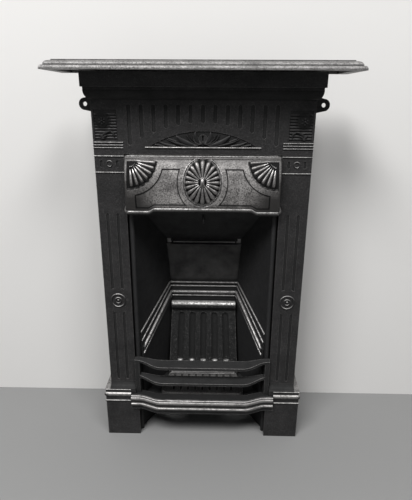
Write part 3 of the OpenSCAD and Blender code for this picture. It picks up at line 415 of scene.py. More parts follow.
def iron(name, dark, light, bright, rough, rub, metal, bump, edge=0.002, reach=0.010, tops=None,
         specks=0.0, glints=0.0, hood=False, sunk=0.0, fluted=0.0, shine=0.5):
    """Blacked cast iron. dark and light are the mottled blacking, bright the rubbed metal.

    rough is the roughness of its smooth and its dull patches, rub how far the edges are rubbed,
    metal the metallic share and bump the strength of the grain. edge is how wide the rubbed edges
    are and reach how far painted shade and soot spread from a corner. tops is (low lean, high lean,
    amount, share that level tops keep) for faces rubbed bright from above and given a painted
    highlight in the bright colour, with painted shade under them. specks and glints are how far the
    dark and the bright grain show, and sunk and fluted are the painted shade and soot in the flutes
    and sunk work of the surround and in the flutes of the fireback. shine is the specular level.
    """
    material = bpy.data.materials.new(name)
    material.use_nodes = True
    tree = material.node_tree
    tree.nodes.clear()
    out = add(tree, "ShaderNodeOutputMaterial")
    shader = add(tree, "ShaderNodeBsdfPrincipled")
    tree.links.new(shader.outputs[0], out.inputs["Surface"])
    sand = add(tree, "ShaderNodeGroup", node_tree=SAND)
    wear = add(tree, "ShaderNodeGroup", node_tree=EDGE)
    wear.inputs["Radius"].default_value = edge
    wear.inputs["Amount"].default_value = rub
    wear.inputs["Reach"].default_value = reach
    colour = blend(tree, sand.outputs["Mottle"], dark, light)
    # The rub mask: edge rub, bright glints, and where tops are given, a painted highlight on faces
    # that lean up
    rubbed = wear.outputs["Rub"]
    # Painted shade and soot in the corners
    hollow = wear.outputs["Hollow"]
    # Painted highlight, partly rub, on faces that lean up, and painted shade under mouldings
    if tops:
        bands = add(tree, "ShaderNodeGroup", node_tree=TOPS)
        bands.inputs["Low"].default_value = tops[0]
        bands.inputs["High"].default_value = tops[1]
        bands.inputs["Flat"].default_value = tops[3]
        top = math_node(tree, "MULTIPLY", bands.outputs["Rub"], tops[2])
        rubbed = math_node(tree, "MAXIMUM", rubbed, top)
        under = math_node(tree, "MULTIPLY", bands.outputs["ShadeUnder"], UNDER_SHADE)
        hollow = math_node(tree, "MAXIMUM", hollow, under)
    # Painted shade and soot in the sunk work, and a painted shadow ring round each capital's disc
    if sunk:
        work = add(tree, "ShaderNodeGroup", node_tree=SUNK_WORK)
        loud = span(tree, work.outputs["Quiet"], 1.0, QUIET_RUB)
        rubbed = math_node(tree, "MULTIPLY", rubbed, loud)
        flutes = math_node(tree, "MULTIPLY", work.outputs["Sunk"], sunk)
        hollow = math_node(tree, "MAXIMUM", hollow, flutes)
    if specks:
        grain = math_node(tree, "MULTIPLY", sand.outputs["Speckle"], specks)
        colour = blend(tree, grain, colour, tuple(GRAIN_DARK * c for c in dark))
        rubbed = math_node(tree, "MULTIPLY", rubbed, less(tree, 1.0, grain))
    if glints:
        glint = math_node(tree, "MULTIPLY", sand.outputs["Glint"], glints)
        rubbed = math_node(tree, "MAXIMUM", rubbed, glint)
    colour = blend(tree, rubbed, colour, bright)
    # Painted highlight on the hood's belly and painted shade off it, painted shade and soot on the
    # grounds, painted shadow lines round the panels
    if hood:
        ground = add(tree, "ShaderNodeGroup", node_tree=HOLLOWS)
        hood_shade = tuple(HOOD_SHADE_DARK * c for c in dark)
        colour = blend(tree, ground.outputs["Belly"], hood_shade, colour)
        line = math_node(tree, "MULTIPLY", ground.outputs["Line"], LINE_SHADE)
        hollow = chain(tree, "MAXIMUM", hollow, ground.outputs["Ground"], line)
    # Painted shade and soot in the fireback's flutes
    if fluted:
        grooves = add(tree, "ShaderNodeGroup", node_tree=FLUTE_SHADE)
        flutes = math_node(tree, "MULTIPLY", grooves.outputs["Soot"], fluted)
        hollow = math_node(tree, "MAXIMUM", hollow, flutes)
    # Painted shade and soot darken the corners, grounds, flutes and undersides
    colour = blend(tree, hollow, colour, SHADE_AND_SOOT)
    tree.links.new(colour, shader.inputs["Base Color"])
    gloss = span(tree, sand.outputs["Mottle"], rough[1], rough[0])
    gloss = less(tree, gloss, math_node(tree, "MULTIPLY", rubbed, RUB_SMOOTH))
    dull = math_node(tree, "MULTIPLY", hollow, SOOT_ROUGH)
    tree.links.new(math_node(tree, "ADD", gloss, dull, clamp=True), shader.inputs["Roughness"])
    metallic = span(tree, rubbed, metal, min(1.0, metal + RUB_METAL))
    tree.links.new(metallic, shader.inputs["Metallic"])
    relief = add(tree, "ShaderNodeBump")
    relief.inputs["Strength"].default_value = bump
    relief.inputs["Distance"].default_value = GRAIN_HIGH
    tree.links.new(sand.outputs["Height"], relief.inputs["Height"])
    rounded = add(tree, "ShaderNodeBevel", samples=4)
    rounded.inputs["Radius"].default_value = EDGE_R
    tree.links.new(rounded.outputs[0], relief.inputs["Normal"])
    tree.links.new(relief.outputs[0], shader.inputs["Normal"])
    shader.inputs["Specular IOR Level"].default_value = shine
    return material


# Finishes given tops take a painted highlight on faces that lean up and painted shade under them
BLACKED = iron(
    "blacked_iron", (0.006, 0.006, 0.0062), (0.012, 0.0117, 0.0117), (0.40, 0.39, 0.38),
    (0.62, 0.80), 0.6, 0.10, 0.9, 0.0018, 0.006, tops=(0.15, 0.45, 1.0, 0.0), specks=0.5,
    glints=0.05,
)
SURROUND = iron(
    "surround_iron", (0.014, 0.0135, 0.0137), (0.032, 0.0305, 0.031), (0.42, 0.41, 0.40),
    (0.42, 0.60), 0.36, 0.25, 1.0, 0.0018, 0.005, tops=(0.25, 0.65, 0.95, 0.8), specks=0.6,
    glints=0.10, sunk=0.8,
)
# A matt, darker copy of the surround's iron: painted shade on the plinth coves and on the cornice's
# ovolo under the shelf
SHADED_MATT = iron(
    "shaded_matt_iron", (0.009, 0.009, 0.009), (0.014, 0.014, 0.014), (0.05, 0.05, 0.05),
    (0.80, 0.92), 0.3, 0.1, 0.8, specks=0.5,
)
# The hood's colour carries a painted highlight on its belly and painted shade away from it
HOOD = iron(
    "hood_iron", (0.18, 0.172, 0.168), (0.56, 0.54, 0.526), (0.76, 0.74, 0.73),
    (0.40, 0.54), 0.7, 0.66, 1.0, 0.002, 0.0045, specks=1.0, glints=0.7, hood=True,
)
HOOD_ROLL = iron(
    "hood_roll_iron", (0.05, 0.048, 0.047), (0.10, 0.097, 0.095), (0.50, 0.485, 0.475),
    (0.40, 0.54), 0.4, 0.45, 0.9, 0.0015, 0.005, tops=(0.0, 0.5, 0.5, 0.45), specks=0.8,
)
RUBBED = iron(
    "rubbed_iron", (0.10, 0.097, 0.095), (0.26, 0.25, 0.245), (0.62, 0.60, 0.59),
    (0.40, 0.54), 0.8, 0.7, 0.9, 0.002, 0.005, specks=0.6, glints=0.3,
)
SHELF = iron(
    "shelf_iron", (0.14, 0.136, 0.133), (0.25, 0.243, 0.238), (0.60, 0.585, 0.575),
    (0.42, 0.58), 0.7, 0.55, 1.0, 0.002, 0.006, specks=0.75, glints=0.45,
)
DISC = iron(
    "disc_iron", (0.003, 0.003, 0.003), (0.006, 0.006, 0.006), (0.05, 0.05, 0.05),
    (0.75, 0.9), 0.2, 0.05, 0.8, specks=0.5, shine=0.3,
)
SOOTED = iron(
    "sooted_iron", (0.008, 0.008, 0.0085), (0.016, 0.016, 0.0165), (0.05, 0.05, 0.05),
    (0.55, 0.75), 0.35, 0.15, 0.8,
)
BRIGHT = iron(
    "bright_ornament", (0.13, 0.125, 0.122), (0.26, 0.25, 0.245), (0.60, 0.585, 0.575),
    (0.38, 0.50), 0.9, 0.78, 0.6, 0.0015, 0.007, specks=0.5, glints=0.3,
)
BLACK_ORNAMENT = iron(
    "blacked_ornament", (0.008, 0.008, 0.0082), (0.016, 0.0155, 0.016), (0.30, 0.29, 0.285),
    (0.50, 0.64), 0.3, 0.10, 0.5, 0.0006, 0.006, tops=(0.55, 0.95, 0.3, 1.0), shine=0.3,
)
STEEL = iron(
    "oiled_steel", (0.05, 0.05, 0.052), (0.09, 0.09, 0.092), (0.3, 0.3, 0.3),
    (0.34, 0.48), 0.8, 0.85, 0.25, 0.001,
)
RIDGES = iron(
    "ridge_iron", (0.02, 0.0195, 0.0195), (0.045, 0.044, 0.043), (0.28, 0.272, 0.267),
    (0.42, 0.56), 0.3, 0.35, 0.8, 0.0015, 0.004, tops=(0.0, 0.7, 1.0, 1.0), specks=0.7,
    glints=0.2,
)
RAIL = iron(
    "rail_iron", (0.016, 0.0155, 0.0155), (0.036, 0.035, 0.034), (0.42, 0.406, 0.397),
    (0.44, 0.58), 0.4, 0.3, 0.8, 0.0015, 0.004, tops=(0.05, 0.55, 1.0, 0.1), specks=0.4,
    glints=0.1,
)
FIREBACK = iron(
    "fireback_iron", (0.009, 0.009, 0.009), (0.022, 0.022, 0.022), (0.50, 0.49, 0.48),
    (0.45, 0.66), 0.6, 0.25, 1.0, 0.003, 0.020, tops=(0.3, 0.65, 1.0, 1.0), specks=1.0,
    glints=0.4, fluted=0.85,
)
SMOKED = iron(
    "smoked_back", (0.022, 0.0215, 0.0215), (0.062, 0.060, 0.059), (0.055, 0.053, 0.052),
    (0.52, 0.72), 0.3, 0.15, 0.8,
)
GRATE = iron(
    "grate_iron", (0.09, 0.087, 0.086), (0.19, 0.185, 0.181), (0.50, 0.49, 0.48),
    (0.42, 0.58), 0.8, 0.45, 0.9, 0.0025, 0.003, specks=0.6, glints=0.3,
)

FINISH = {
    "mantel_shelf": SHELF, "surround": SURROUND, "hood": HOOD, "left_cheek": SOOTED,
    "right_cheek": SOOTED, "back_plate": SMOKED, "left_lining": SOOTED, "right_lining": SOOTED,
    "back_lining": SOOTED, "fluted_fireback": FIREBACK, "bottom_grate": GRATE,
    "front_bars": BLACKED, "bottom_rail": BLACKED, "damper_flap": SOOTED,
    "damper_handle": STEEL, "damper_pins": BLACKED,
}
for name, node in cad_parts.items():
    node.data.materials.clear()
    node.data.materials.append(FINISH.get(name, STEEL))


# ---------------------------------------------------------------- ways of working on a piece

# Steps round a level turn, points round an oval section, and how near points count as one
TURN_STEPS = 6
ROUND_POINTS = 20
MERGE = 0.00002
# Radius of a casting's rounded bends, and the angle from which an edge is eased, in degrees
KNEE_R = 0.013
EASE_FROM = 35


def pick(piece):
    """Object mode, with only this piece selected."""
    if bpy.context.object and bpy.context.object.mode != "OBJECT":
        bpy.ops.object.mode_set(mode="OBJECT")
    bpy.ops.object.select_all(action="DESELECT")
    if piece:
        piece.select_set(True)
        bpy.context.view_layer.objects.active = piece


def start(kind, name, **place):
    """A new primitive, alone in the selection, with its size applied."""
    pick(None)
    getattr(bpy.ops.mesh, "primitive_" + kind + "_add")(**place)
    piece = bpy.context.object
    piece.name = piece.data.name = name
    bpy.ops.object.transform_apply(location=False, rotation=True, scale=True)
    return piece


def settle(piece):
    """The place goes into the mesh, and the object returns to the origin."""
    pick(piece)
    bpy.ops.object.transform_apply(location=True, rotation=True, scale=True)


def choose(piece, faces=None, points=None):
    """Edit mode with the faces or points selected that the test accepts."""
    pick(piece)
    bpy.ops.object.mode_set(mode="EDIT")
    bpy.ops.mesh.select_mode(type="FACE" if faces else "VERT")
    bpy.ops.mesh.select_all(action="DESELECT")
    bpy.ops.object.mode_set(mode="OBJECT")
    if faces:
        for face in piece.data.polygons:
            face.select = bool(faces(face))
    if points:
        for point in piece.data.vertices:
            point.select = bool(points(point.co))
    bpy.ops.object.mode_set(mode="EDIT")


def finish_edit():
    """Back to object mode."""
    bpy.ops.object.mode_set(mode="OBJECT")


def cut(piece, places, axis):
    """Cross cuts through the whole piece at each place along an axis."""
    pick(piece)
    bpy.ops.object.mode_set(mode="EDIT")
    for place in places:
        bpy.ops.mesh.select_all(action="SELECT")
        point, normal = [0, 0, 0], [0, 0, 0]
        point[axis], normal[axis] = place, 1
        bpy.ops.mesh.bisect(plane_co=point, plane_no=normal)
    finish_edit()


def apply(piece, kind, **settings):
    """Add a modifier and apply it."""
    pick(piece)
    modifier = piece.modifiers.new(kind.lower(), kind)
    for key, value in settings.items():
        setattr(modifier, key, value)
    bpy.ops.object.modifier_apply(modifier=modifier.name)


def another(piece, name):
    """A copy with a mesh of its own."""
    twin = piece.copy()
    twin.data = piece.data.copy()
    twin.name = twin.data.name = name
    bpy.context.scene.collection.objects.link(twin)
    return twin


def join(pieces, name):
    """Several pieces made one."""
    pick(pieces[0])
    for piece in pieces[1:]:
        piece.select_set(True)
    bpy.ops.object.join()
    whole = bpy.context.object
    whole.name = whole.data.name = name
    return whole


def outward(piece):
    """Merge doubles and turn every face outwards."""
    choose(piece, points=lambda co: True)
    bpy.ops.mesh.remove_doubles(threshold=MERGE)
    bpy.ops.mesh.normals_make_consistent(inside=False)
    finish_edit()


def bar(name, length, stations):
    """A rounded bar up +Z from its foot at the origin, its back at y = 0.

    stations holds (share of the length, width, height), from the foot to the tip.
    """
    wide = max(s[1] for s in stations)
    high = max(s[2] for s in stations)
    piece = start(
        "cube", name, size=1, location=(0, -high / 2, length / 2), scale=(wide, high, length)
    )
    settle(piece)
    cut(piece, [length * s[0] for s in stations[1:-1]], 2)
    near = length * 0.004
    for share, width, height in stations:
        level = length * share
        choose(piece, points=lambda co: abs(co.z - level) < near)
        bpy.ops.transform.resize(
            value=(width / wide, height / high, 1), center_override=(0, 0, level)
        )
        finish_edit()
    apply(piece, "SUBSURF", levels=2, render_levels=2)
    return piece


def set_at(piece, x, y, z, turn=0.0, size=(1, 1, 1)):
    """Put a bar's foot at a point, turned clockwise as seen from the front."""
    piece.scale = size
    piece.rotation_euler = (0, math.radians(turn), 0)
    piece.location = (x, y, z)
    settle(piece)
    return piece


def drawn(name, section, legs, one_way=False):
    """A moulding drawn both ways, or one way only, from x = 0, and closed at its ends.

    section holds the (depth, height) points round the section, in order. A leg is a straight
    run (x, y, z), or (centre, degrees) for a level turn about a centre, clockwise from above.
    """
    piece = start("circle", name, vertices=len(section), radius=0.01, rotation=(0, math.pi / 2, 0))
    for point, (y, z) in zip(piece.data.vertices, section):
        point.co = (0, y, z)
    choose(piece, points=lambda co: True)
    for leg in legs:
        if len(leg) == 3:
            bpy.ops.mesh.extrude_region_move(TRANSFORM_OT_translate={"value": leg})
        else:
            bpy.ops.mesh.spin(
                steps=TURN_STEPS, angle=math.radians(leg[1]), center=leg[0], axis=(0, 0, 1),
                dupli=False,
            )
    bpy.ops.mesh.edge_face_add()
    finish_edit()
    if one_way:
        choose(piece, points=lambda co: abs(co.x) < 1e-6)
        bpy.ops.mesh.edge_face_add()
        finish_edit()
    else:
        apply(piece, "MIRROR", use_clip=True, merge_threshold=MERGE)
    outward(piece)
    return piece


def round_section(y, z, across, up):
    """An oval section round (y, z), with its half sizes across and up."""
    turns = [2 * math.pi * i / ROUND_POINTS for i in range(ROUND_POINTS)]
    return [(y + across * math.cos(a), z + up * math.sin(a)) for a in turns]


def eased(node_name, name, width, finish, body, knees=()):
    """A casting of the frame with its edges eased, and its bends rounded at the given x."""
    piece = another(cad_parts[node_name], name)
    piece.parent = None
    outward(piece)
    choose(piece, points=lambda co: True)
    bpy.ops.mesh.dissolve_limited(angle_limit=math.radians(0.5))
    if knees:
        bpy.ops.mesh.select_mode(type="EDGE")
        bpy.ops.mesh.select_all(action="DESELECT")
        finish_edit()
        points = piece.data.vertices
        for edge in piece.data.edges:
            a, b = (points[i].co for i in edge.vertices)
            upright = abs(a.x - b.x) < 0.0001 and abs(a.y - b.y) < 0.0001
            edge.select = upright and any(abs(abs(a.x) - knee) < 0.0005 for knee in knees)
        bpy.ops.object.mode_set(mode="EDIT")
        bpy.ops.mesh.bevel(offset=KNEE_R, offset_type="OFFSET", segments=4, affect="EDGES")
    finish_edit()
    apply(piece, "BEVEL", width=width, segments=2, limit_method="ANGLE",
          angle_limit=math.radians(EASE_FROM), miter_outer="MITER_ARC")
    dress(piece, finish, body, EASE_FROM)
    apply(piece, "WEIGHTED_NORMAL", keep_sharp=True)
    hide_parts(node_name)


def mirrored(piece, name):
    """The left-hand twin of a right-hand piece."""
    twin = another(piece, name)
    pick(twin)
    twin.scale = (-1, 1, 1)
    settle(twin)
    outward(twin)
    return twin


def dress(piece, finish, body="fireplace", angle=40):
    """Shading, material, and the body that the piece rides on."""
    pick(piece)
    bpy.ops.object.shade_smooth_by_angle(angle=math.radians(angle))
    piece.data.materials.clear()
    piece.data.materials.append(finish)
    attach(piece, body)


def dress_pair(right, left_name, finish):
    """The left-hand twin of a right-hand piece, and the finish of both."""
    left = mirrored(right, left_name)
    dress(right, finish)
    dress(left, finish)


# ---------------------------------------------------------------- ornament of the hood


def on_hood(z):
    """Height on the flat drawing of a point at height z on the curved hood."""
    return HOOD_MID + HOOD_R * math.asin((z - HOOD_MID) / HOOD_R)


def wrap(piece):
    """Roll a flat piece, drawn at the front line of the hood, onto its curved face."""
    pick(piece)
    bpy.context.scene.cursor.location = (0, HOOD_FRONT, HOOD_MID)
    bpy.ops.object.origin_set(type="ORIGIN_CURSOR")
    heights = [point.co.z for point in piece.data.vertices]
    turn = (max(heights) - min(heights)) / HOOD_R
    apply(piece, "SIMPLE_DEFORM", deform_method="BEND", deform_axis="X", angle=turn)
    settle(piece)
    bpy.context.scene.cursor.location = (0, 0, 0)


def copies(model, places):
    """Copies of a bar, one for each (x, y, z, turn, size if not 1), in place of the bar itself."""
    parts = [set_at(another(model, model.name), *place) for place in places]
    bpy.data.objects.remove(model)
    return parts


def rosette():
    """The oval rosette: twenty petals round a long boss, in a plain oval rim."""
    half_x, half_z, petals, deep = 0.0415, 0.0535, 20, 0.045
    centre = on_hood(ROSETTE_Z)
    model = bar(
        "petal", 1.0,
        [(0, 0.05, 0.05), (0.22, 0.070, 0.09), (0.6, 0.165, 0.15), (0.80, 0.235, 0.175),
         (0.91, 0.185, 0.15), (1.0, 0.015, 0.08)],
    )
    places = []
    for i in range(petals):
        turn = 360.0 * i / petals
        a = math.radians(turn)
        reach = 1 / math.hypot(math.sin(a) / half_x, math.cos(a) / half_z)
        places.append((0, HOOD_FRONT + 0.001, centre, turn, (reach, deep, reach)))
    flower = join(copies(model, places), "hood_rosette")
    wrap(flower)
    dress(flower, BRIGHT)

    boss = start("uv_sphere", "rosette_boss", segments=32, ring_count=16, radius=1,
                 location=(0, HOOD_FRONT, centre), scale=(0.0068, 0.0095, 0.0115))
    settle(boss)
    choose(boss, faces=lambda f: f.center.y > HOOD_FRONT - 0.0035)
    bpy.ops.transform.resize(value=(1.25, 1, 1.18), center_override=(0, HOOD_FRONT, centre))
    finish_edit()
    apply(boss, "SUBSURF", levels=1, render_levels=1)
    wrap(boss)
    dress(boss, BRIGHT)

    rim = start("torus", "rosette_rim", major_segments=96, minor_segments=12, major_radius=1,
                minor_radius=0.03, location=(0, 0, 0), rotation=(math.pi / 2, 0, 0))
    rim.scale = (0.0448, 0.05, 0.0575)
    rim.location = (0, HOOD_FRONT - 0.0004, centre)
    settle(rim)
    wrap(rim)
    dress(rim, RUBBED)


def hood_mouldings():
    """Rolled foot of the hood, which steps down towards the ends, and the roll at its top."""
    foot_z, top_z = on_hood(0.6462), on_hood(0.7652)
    foot_half, top_r, side_long = (0.0048, 0.0062), 0.0026, 0.016
    corner_x = HOOD_X - HOOD_CORNER
    turn = ((corner_x, HOOD_FRONT + HOOD_CORNER, 0), -90.0)
    # The step eases in and out over a little more than its own length
    begin, end, drop = FOOT_STEP
    ease = 0.004
    long = end - begin + 2 * ease
    step = [(long * a, 0, -drop * b) for a, b in ((0.25, 0.08), (0.5, 0.84), (0.25, 0.08))]
    foot = drawn(
        "hood_foot_roll", round_section(HOOD_FRONT - 0.0010, foot_z, *foot_half),
        [(begin - ease, 0, 0)] + step + [(corner_x - end - ease, 0, 0), turn, (0, side_long, 0)],
    )
    wrap(foot)
    dress(foot, HOOD_ROLL)
    top = drawn(
        "hood_top_roll", round_section(HOOD_FRONT - 0.0016, top_z, top_r, top_r),
        [(corner_x, 0, 0), turn],
    )
    wrap(top)
    dress(top, HOOD_ROLL)


def fans():
    """A quarter fan of seven tapered bars in each top corner of the hood."""
    bars, first_turn, apart, gap = 7, 264.0, 13.0, 0.0115
    model = bar(
        "fan_bar", 0.0485,
        [(0, 0.0016, 0.0020), (0.3, 0.0044, 0.0042), (0.75, 0.0080, 0.0064),
         (0.9, 0.0084, 0.0068), (0.97, 0.0070, 0.0062), (1.0, 0.0040, 0.0040)],
    )
    places = []
    for i in range(bars):
        turn = first_turn - i * apart
        a = math.radians(turn)
        x = FAN_CORNER[0] + gap * math.sin(a)
        z = on_hood(FAN_CORNER[1]) + gap * math.cos(a)
        places.append((x, HOOD_FRONT + 0.0008, z, turn))
    right = join(copies(model, places), "right_fan")
    wrap(right)
    dress_pair(right, "left_fan", BRIGHT)


# ---------------------------------------------------------------- linings, rail, plinths, cornice

# Each ridge of the linings, in millimetres: distance in from the cheek, radius, height at the
# back, and fall towards the front
RIDGE_ROWS = ((3, 2.6, 396, 92), (6, 2.4, 386, 106), (9, 5.2, 371, 110), (11, 2.6, 359, 115))
# Plan of the right cheek from the jamb face, in millimetres: its front and back, its length, and
# the way it runs
CHEEK_FRONT = (171.0, 12.0)
CHEEK_BACK = (98.0, 150.0)
CHEEK_LONG = math.dist(CHEEK_FRONT, CHEEK_BACK)
CHEEK_WAY = [(b - a) / CHEEK_LONG for a, b in zip(CHEEK_FRONT, CHEEK_BACK)]


def on_cheek(along, inward):
    """Plan point in millimetres, along the right cheek from its front and inward from it."""
    return (
        CHEEK_FRONT[0] + CHEEK_WAY[0] * along - CHEEK_WAY[1] * inward,
        CHEEK_FRONT[1] + CHEEK_WAY[1] * along + CHEEK_WAY[0] * inward,
    )


def lining_ridges():
    """Four rolls that run down one side of the fire, round its back and down the other."""
    # How far short of the cheek's front the rolls end, how far from it their fall is measured to,
    # how much wider than a roll its bend is, how proud it stands, and its height as a share
    short, fall_to, wider, proud, taller = 5.0, 9.0, 3.0, 0.4, 1.1
    bend = math.atan2(CHEEK_WAY[1], -CHEEK_WAY[0])
    for count, (inward, r, top, fall) in enumerate(RIDGE_ROWS):
        back = CHEEK_BACK[1] - inward
        corner = on_cheek((back - CHEEK_FRONT[1] - CHEEK_WAY[0] * inward) / CHEEK_WAY[1], inward)
        reach = short + r
        front = on_cheek(reach, inward)
        drop = fall * (CHEEK_LONG - reach) / (CHEEK_LONG - fall_to)
        arc_r = r + wider
        ease = arc_r * math.tan(bend / 2)
        turn_x = corner[0] - ease
        out_x = corner[0] - CHEEK_WAY[0] * ease
        out_y = back - CHEEK_WAY[1] * ease
        size = (r + proud) * MM
        ridge = drawn(
            "lining_ridge_%d" % (count + 1),
            round_section(back * MM + FACE, (top - r) * MM, size, size * taller),
            [(turn_x * MM, 0, 0),
             ((turn_x * MM, (back - arc_r) * MM + FACE, 0), math.degrees(bend)),
             ((front[0] - out_x) * MM, (front[1] - out_y) * MM, -drop * MM)],
        )
        dress(ridge, RIDGES)


# Front of the rail at its middle, and its plan from there to the right end: straight, then back
# at a slant with an eased bend at both ends of it, and straight again
RAIL_FRONT = FACE - 0.040
RAIL_PLAN = (
    (0.113, 0, 0), (0.010, 0.0020, 0), (0.034, 0.0139, 0), (0.010, 0.0021, 0), (0.0242, 0, 0),
)
# Beads of the rail as (height, half height, depth), and the two circles that make its big roll as
# (height, radius, how far the middle is sunk)
RAIL_BEADS = ((0.1305, 0.0025, 0.0024), (0.1040, 0.0052, 0.0036))
RAIL_ROLL = ((0.1220, 0.0072, 0.0027), (0.1203, 0.0082, 0.0033))


def swell(z):
    """Forward swell of the rail at height z: top bead, big roll, lower bead."""
    least, under_bead = 0.0004, 0.0003
    out = least
    for middle, half, depth in RAIL_BEADS:
        off = (z - middle) / half
        if abs(off) < 1:
            out = max(out, under_bead + depth * math.sqrt(1 - off * off))
    for middle, r, sunk in RAIL_ROLL:
        off = z - middle
        if abs(off) < r:
            out = max(out, math.sqrt(r * r - off * off) - sunk)
    return out


def rail_moulding():
    """The rail's moulded front: one section, drawn out along the bowed plan."""
    foot, head, steps, thick = 0.0985, 0.1332, 52, 0.003
    levels = [foot + (head - foot) * i / steps for i in range(steps + 1)]
    section = [(RAIL_FRONT - swell(z), z) for z in levels]
    section += [(RAIL_FRONT + thick, head), (RAIL_FRONT + thick, foot)]
    dress(drawn("rail_moulding", section, RAIL_PLAN), RAIL)


# Plinth: its inner and outer sides, and the depth of its front
PLINTH_SIDES = (0.1922, 0.258)
PLINTH_FRONT = FACE - 0.012


def plinth_cove():
    """The hollow moulding where each jamb meets its plinth."""
    hollow, steps, inner, long = 0.0160, 8, 0.2141, 0.0338
    foot, rise, bedded = 0.1466, 0.0006, 0.001
    section = [(FACE + bedded, foot)]
    for step in range(steps + 1):
        a = math.radians(step * 90 / steps)
        out, up = hollow * (1 - math.sin(a)), hollow * (1 - math.cos(a))
        section.append((FACE - out, foot + rise + up))
    section.append((FACE + bedded, section[-1][1]))
    right = drawn("right_plinth_cove", section, [(long, 0, 0)])
    right.location.x = inner
    settle(right)
    # The coves take the darker matt iron as painted shade
    dress_pair(right, "left_plinth_cove", SHADED_MATT)


def plinth_rolls():
    """The roll that runs round the front and side of each plinth."""
    r, height, corner_r, deep = 0.0079, 0.130, 0.006, 0.0818
    inner, outer = PLINTH_SIDES
    long = outer - corner_r - inner
    roll = drawn(
        "right_plinth_roll", round_section(PLINTH_FRONT, height, r, r),
        [(long, 0, 0), ((long, PLINTH_FRONT + corner_r, 0), -90.0), (0, deep - corner_r, 0)],
        one_way=True,
    )
    roll.location.x = inner
    settle(roll)
    dress_pair(roll, "left_plinth_roll", RAIL)


def mitre(piece, corner_x, side, **kept):
    """Cut a moulding off along the slanting plane of a corner; side is 1 right and -1 left."""
    choose(piece, points=lambda co: True)
    bpy.ops.mesh.bisect(
        plane_co=(side * corner_x, FACE, 0), plane_no=(side, 1, 0), use_fill=True, **kept
    )
    finish_edit()


def cornice_ovolo():
    """The quarter round under the fascia, along the front and round both sides."""
    # Heights of its foot and top, how far out from the face it starts and swells, and its back
    low, high, inner, out, behind = 0.8895, 0.9080, 0.0042, 0.0118, 0.001
    # The corners, how far the front is drawn past them, and the length and front of the sides
    corner_x, over, side_long, side_front = 0.243, 0.02, 0.0898, 0.020
    turns = [math.radians(10 * i) for i in range(10)]
    section = [
        (FACE - inner - out * math.cos(a), high - (high - low) * math.sin(a)) for a in turns
    ]
    section += [(FACE - behind, low), (FACE - behind, high)]
    front = drawn("cornice_ovolo", section, [(corner_x + over, 0, 0)])
    mitre(front, corner_x, 1, clear_outer=True)
    mitre(front, corner_x, -1, clear_outer=True)
    outward(front)
    side = drawn("right_cornice_ovolo", section, [(side_long, 0, 0)], one_way=True)
    side.rotation_euler = (0, 0, math.pi / 2)
    side.location = (corner_x + FACE, FACE - side_front, 0)
    settle(side)
    mitre(side, corner_x, 1, clear_inner=True)
    outward(side)
    # The ovolo takes the darker matt iron as painted shade
    dress(front, SHADED_MATT)
    dress_pair(side, "left_cornice_ovolo", SHADED_MATT)


def bars_and_grate():
    """The lift-off bars, the loose grate and the fireback, with worn, eased edges."""
    eased("front_bars", "eased_front_bars", 0.0018, BLACKED, "bars",
          knees=(0.119, 0.163))
    eased("bottom_grate", "eased_bottom_grate", 0.0009, GRATE, "grate")
    eased("fluted_fireback", "eased_fireback", 0.0016, FIREBACK, "fireplace")


# ---------------------------------------------------------------- ornament of the surround


def blade(name, foot, tip, bend, width, height):
    """A leaf from its foot to its tip, in the plane of the face, bent by so many degrees."""
    way_x, way_z = tip[0] - foot[0], tip[1] - foot[1]
    half = math.radians(bend / 2)
    length = math.hypot(way_x, way_z) * half / math.sin(half)
    piece = bar(
        name, length,
        [(0, width * 0.30, height * 0.6), (0.25, width * 0.62, height * 0.9),
         (0.55, width, height), (0.8, width * 0.72, height), (0.93, width * 0.4, height * 0.9),
         (1.0, width * 0.10, height * 0.5)],
    )
    apply(piece, "SIMPLE_DEFORM", deform_method="BEND", deform_axis="Y", angle=math.radians(-bend))
    turn = math.degrees(math.atan2(way_x, way_z)) + bend / 2
    return set_at(piece, foot[0], SUNK + 0.0004, foot[1], turn)


def bead(x, y, z, r):
    """A small bead, a little deeper than wide."""
    piece = start("uv_sphere", "bead", segments=16, ring_count=8, radius=r, location=(x, y, z),
                  scale=(1, 1.1, 1))
    settle(piece)
    return piece


# Foot, tip, bend in degrees, width and height of each leaf on the right of the lunette, in
# millimetres from the middle of its sill
LUNETTE_LEAVES = (
    ((11, 4), (83, 18.5), 34, 6.0, 4.6), ((58, 13), (79, 20.5), 30, 5.2, 4.6),
    ((60, 4), (99, 12.5), 40, 7.0, 4.6), ((86, 3), (109, 7), 24, 5.4, 4.6),
    ((5, 6.5), (31, 30.5), 62, 3.4, 5.8), ((8, 5.5), (37, 27.5), 60, 3.4, 5.8),
    ((9, 5.5), (61, 26), 52, 12.5, 5.6), ((1.5, 8), (17, 34), 90, 13.5, 6.8),
)


def leaves(table, foot_x, foot_z):
    """Leaves from a table of feet, tips, bends, widths and heights in millimetres."""
    parts = []
    for foot, tip, bend, width, height in table:
        ends = [(foot_x + x * MM, foot_z + z * MM) for x, z in (foot, tip)]
        parts.append(blade("leaf", ends[0], ends[1], bend, width * MM, height * MM))
    return parts


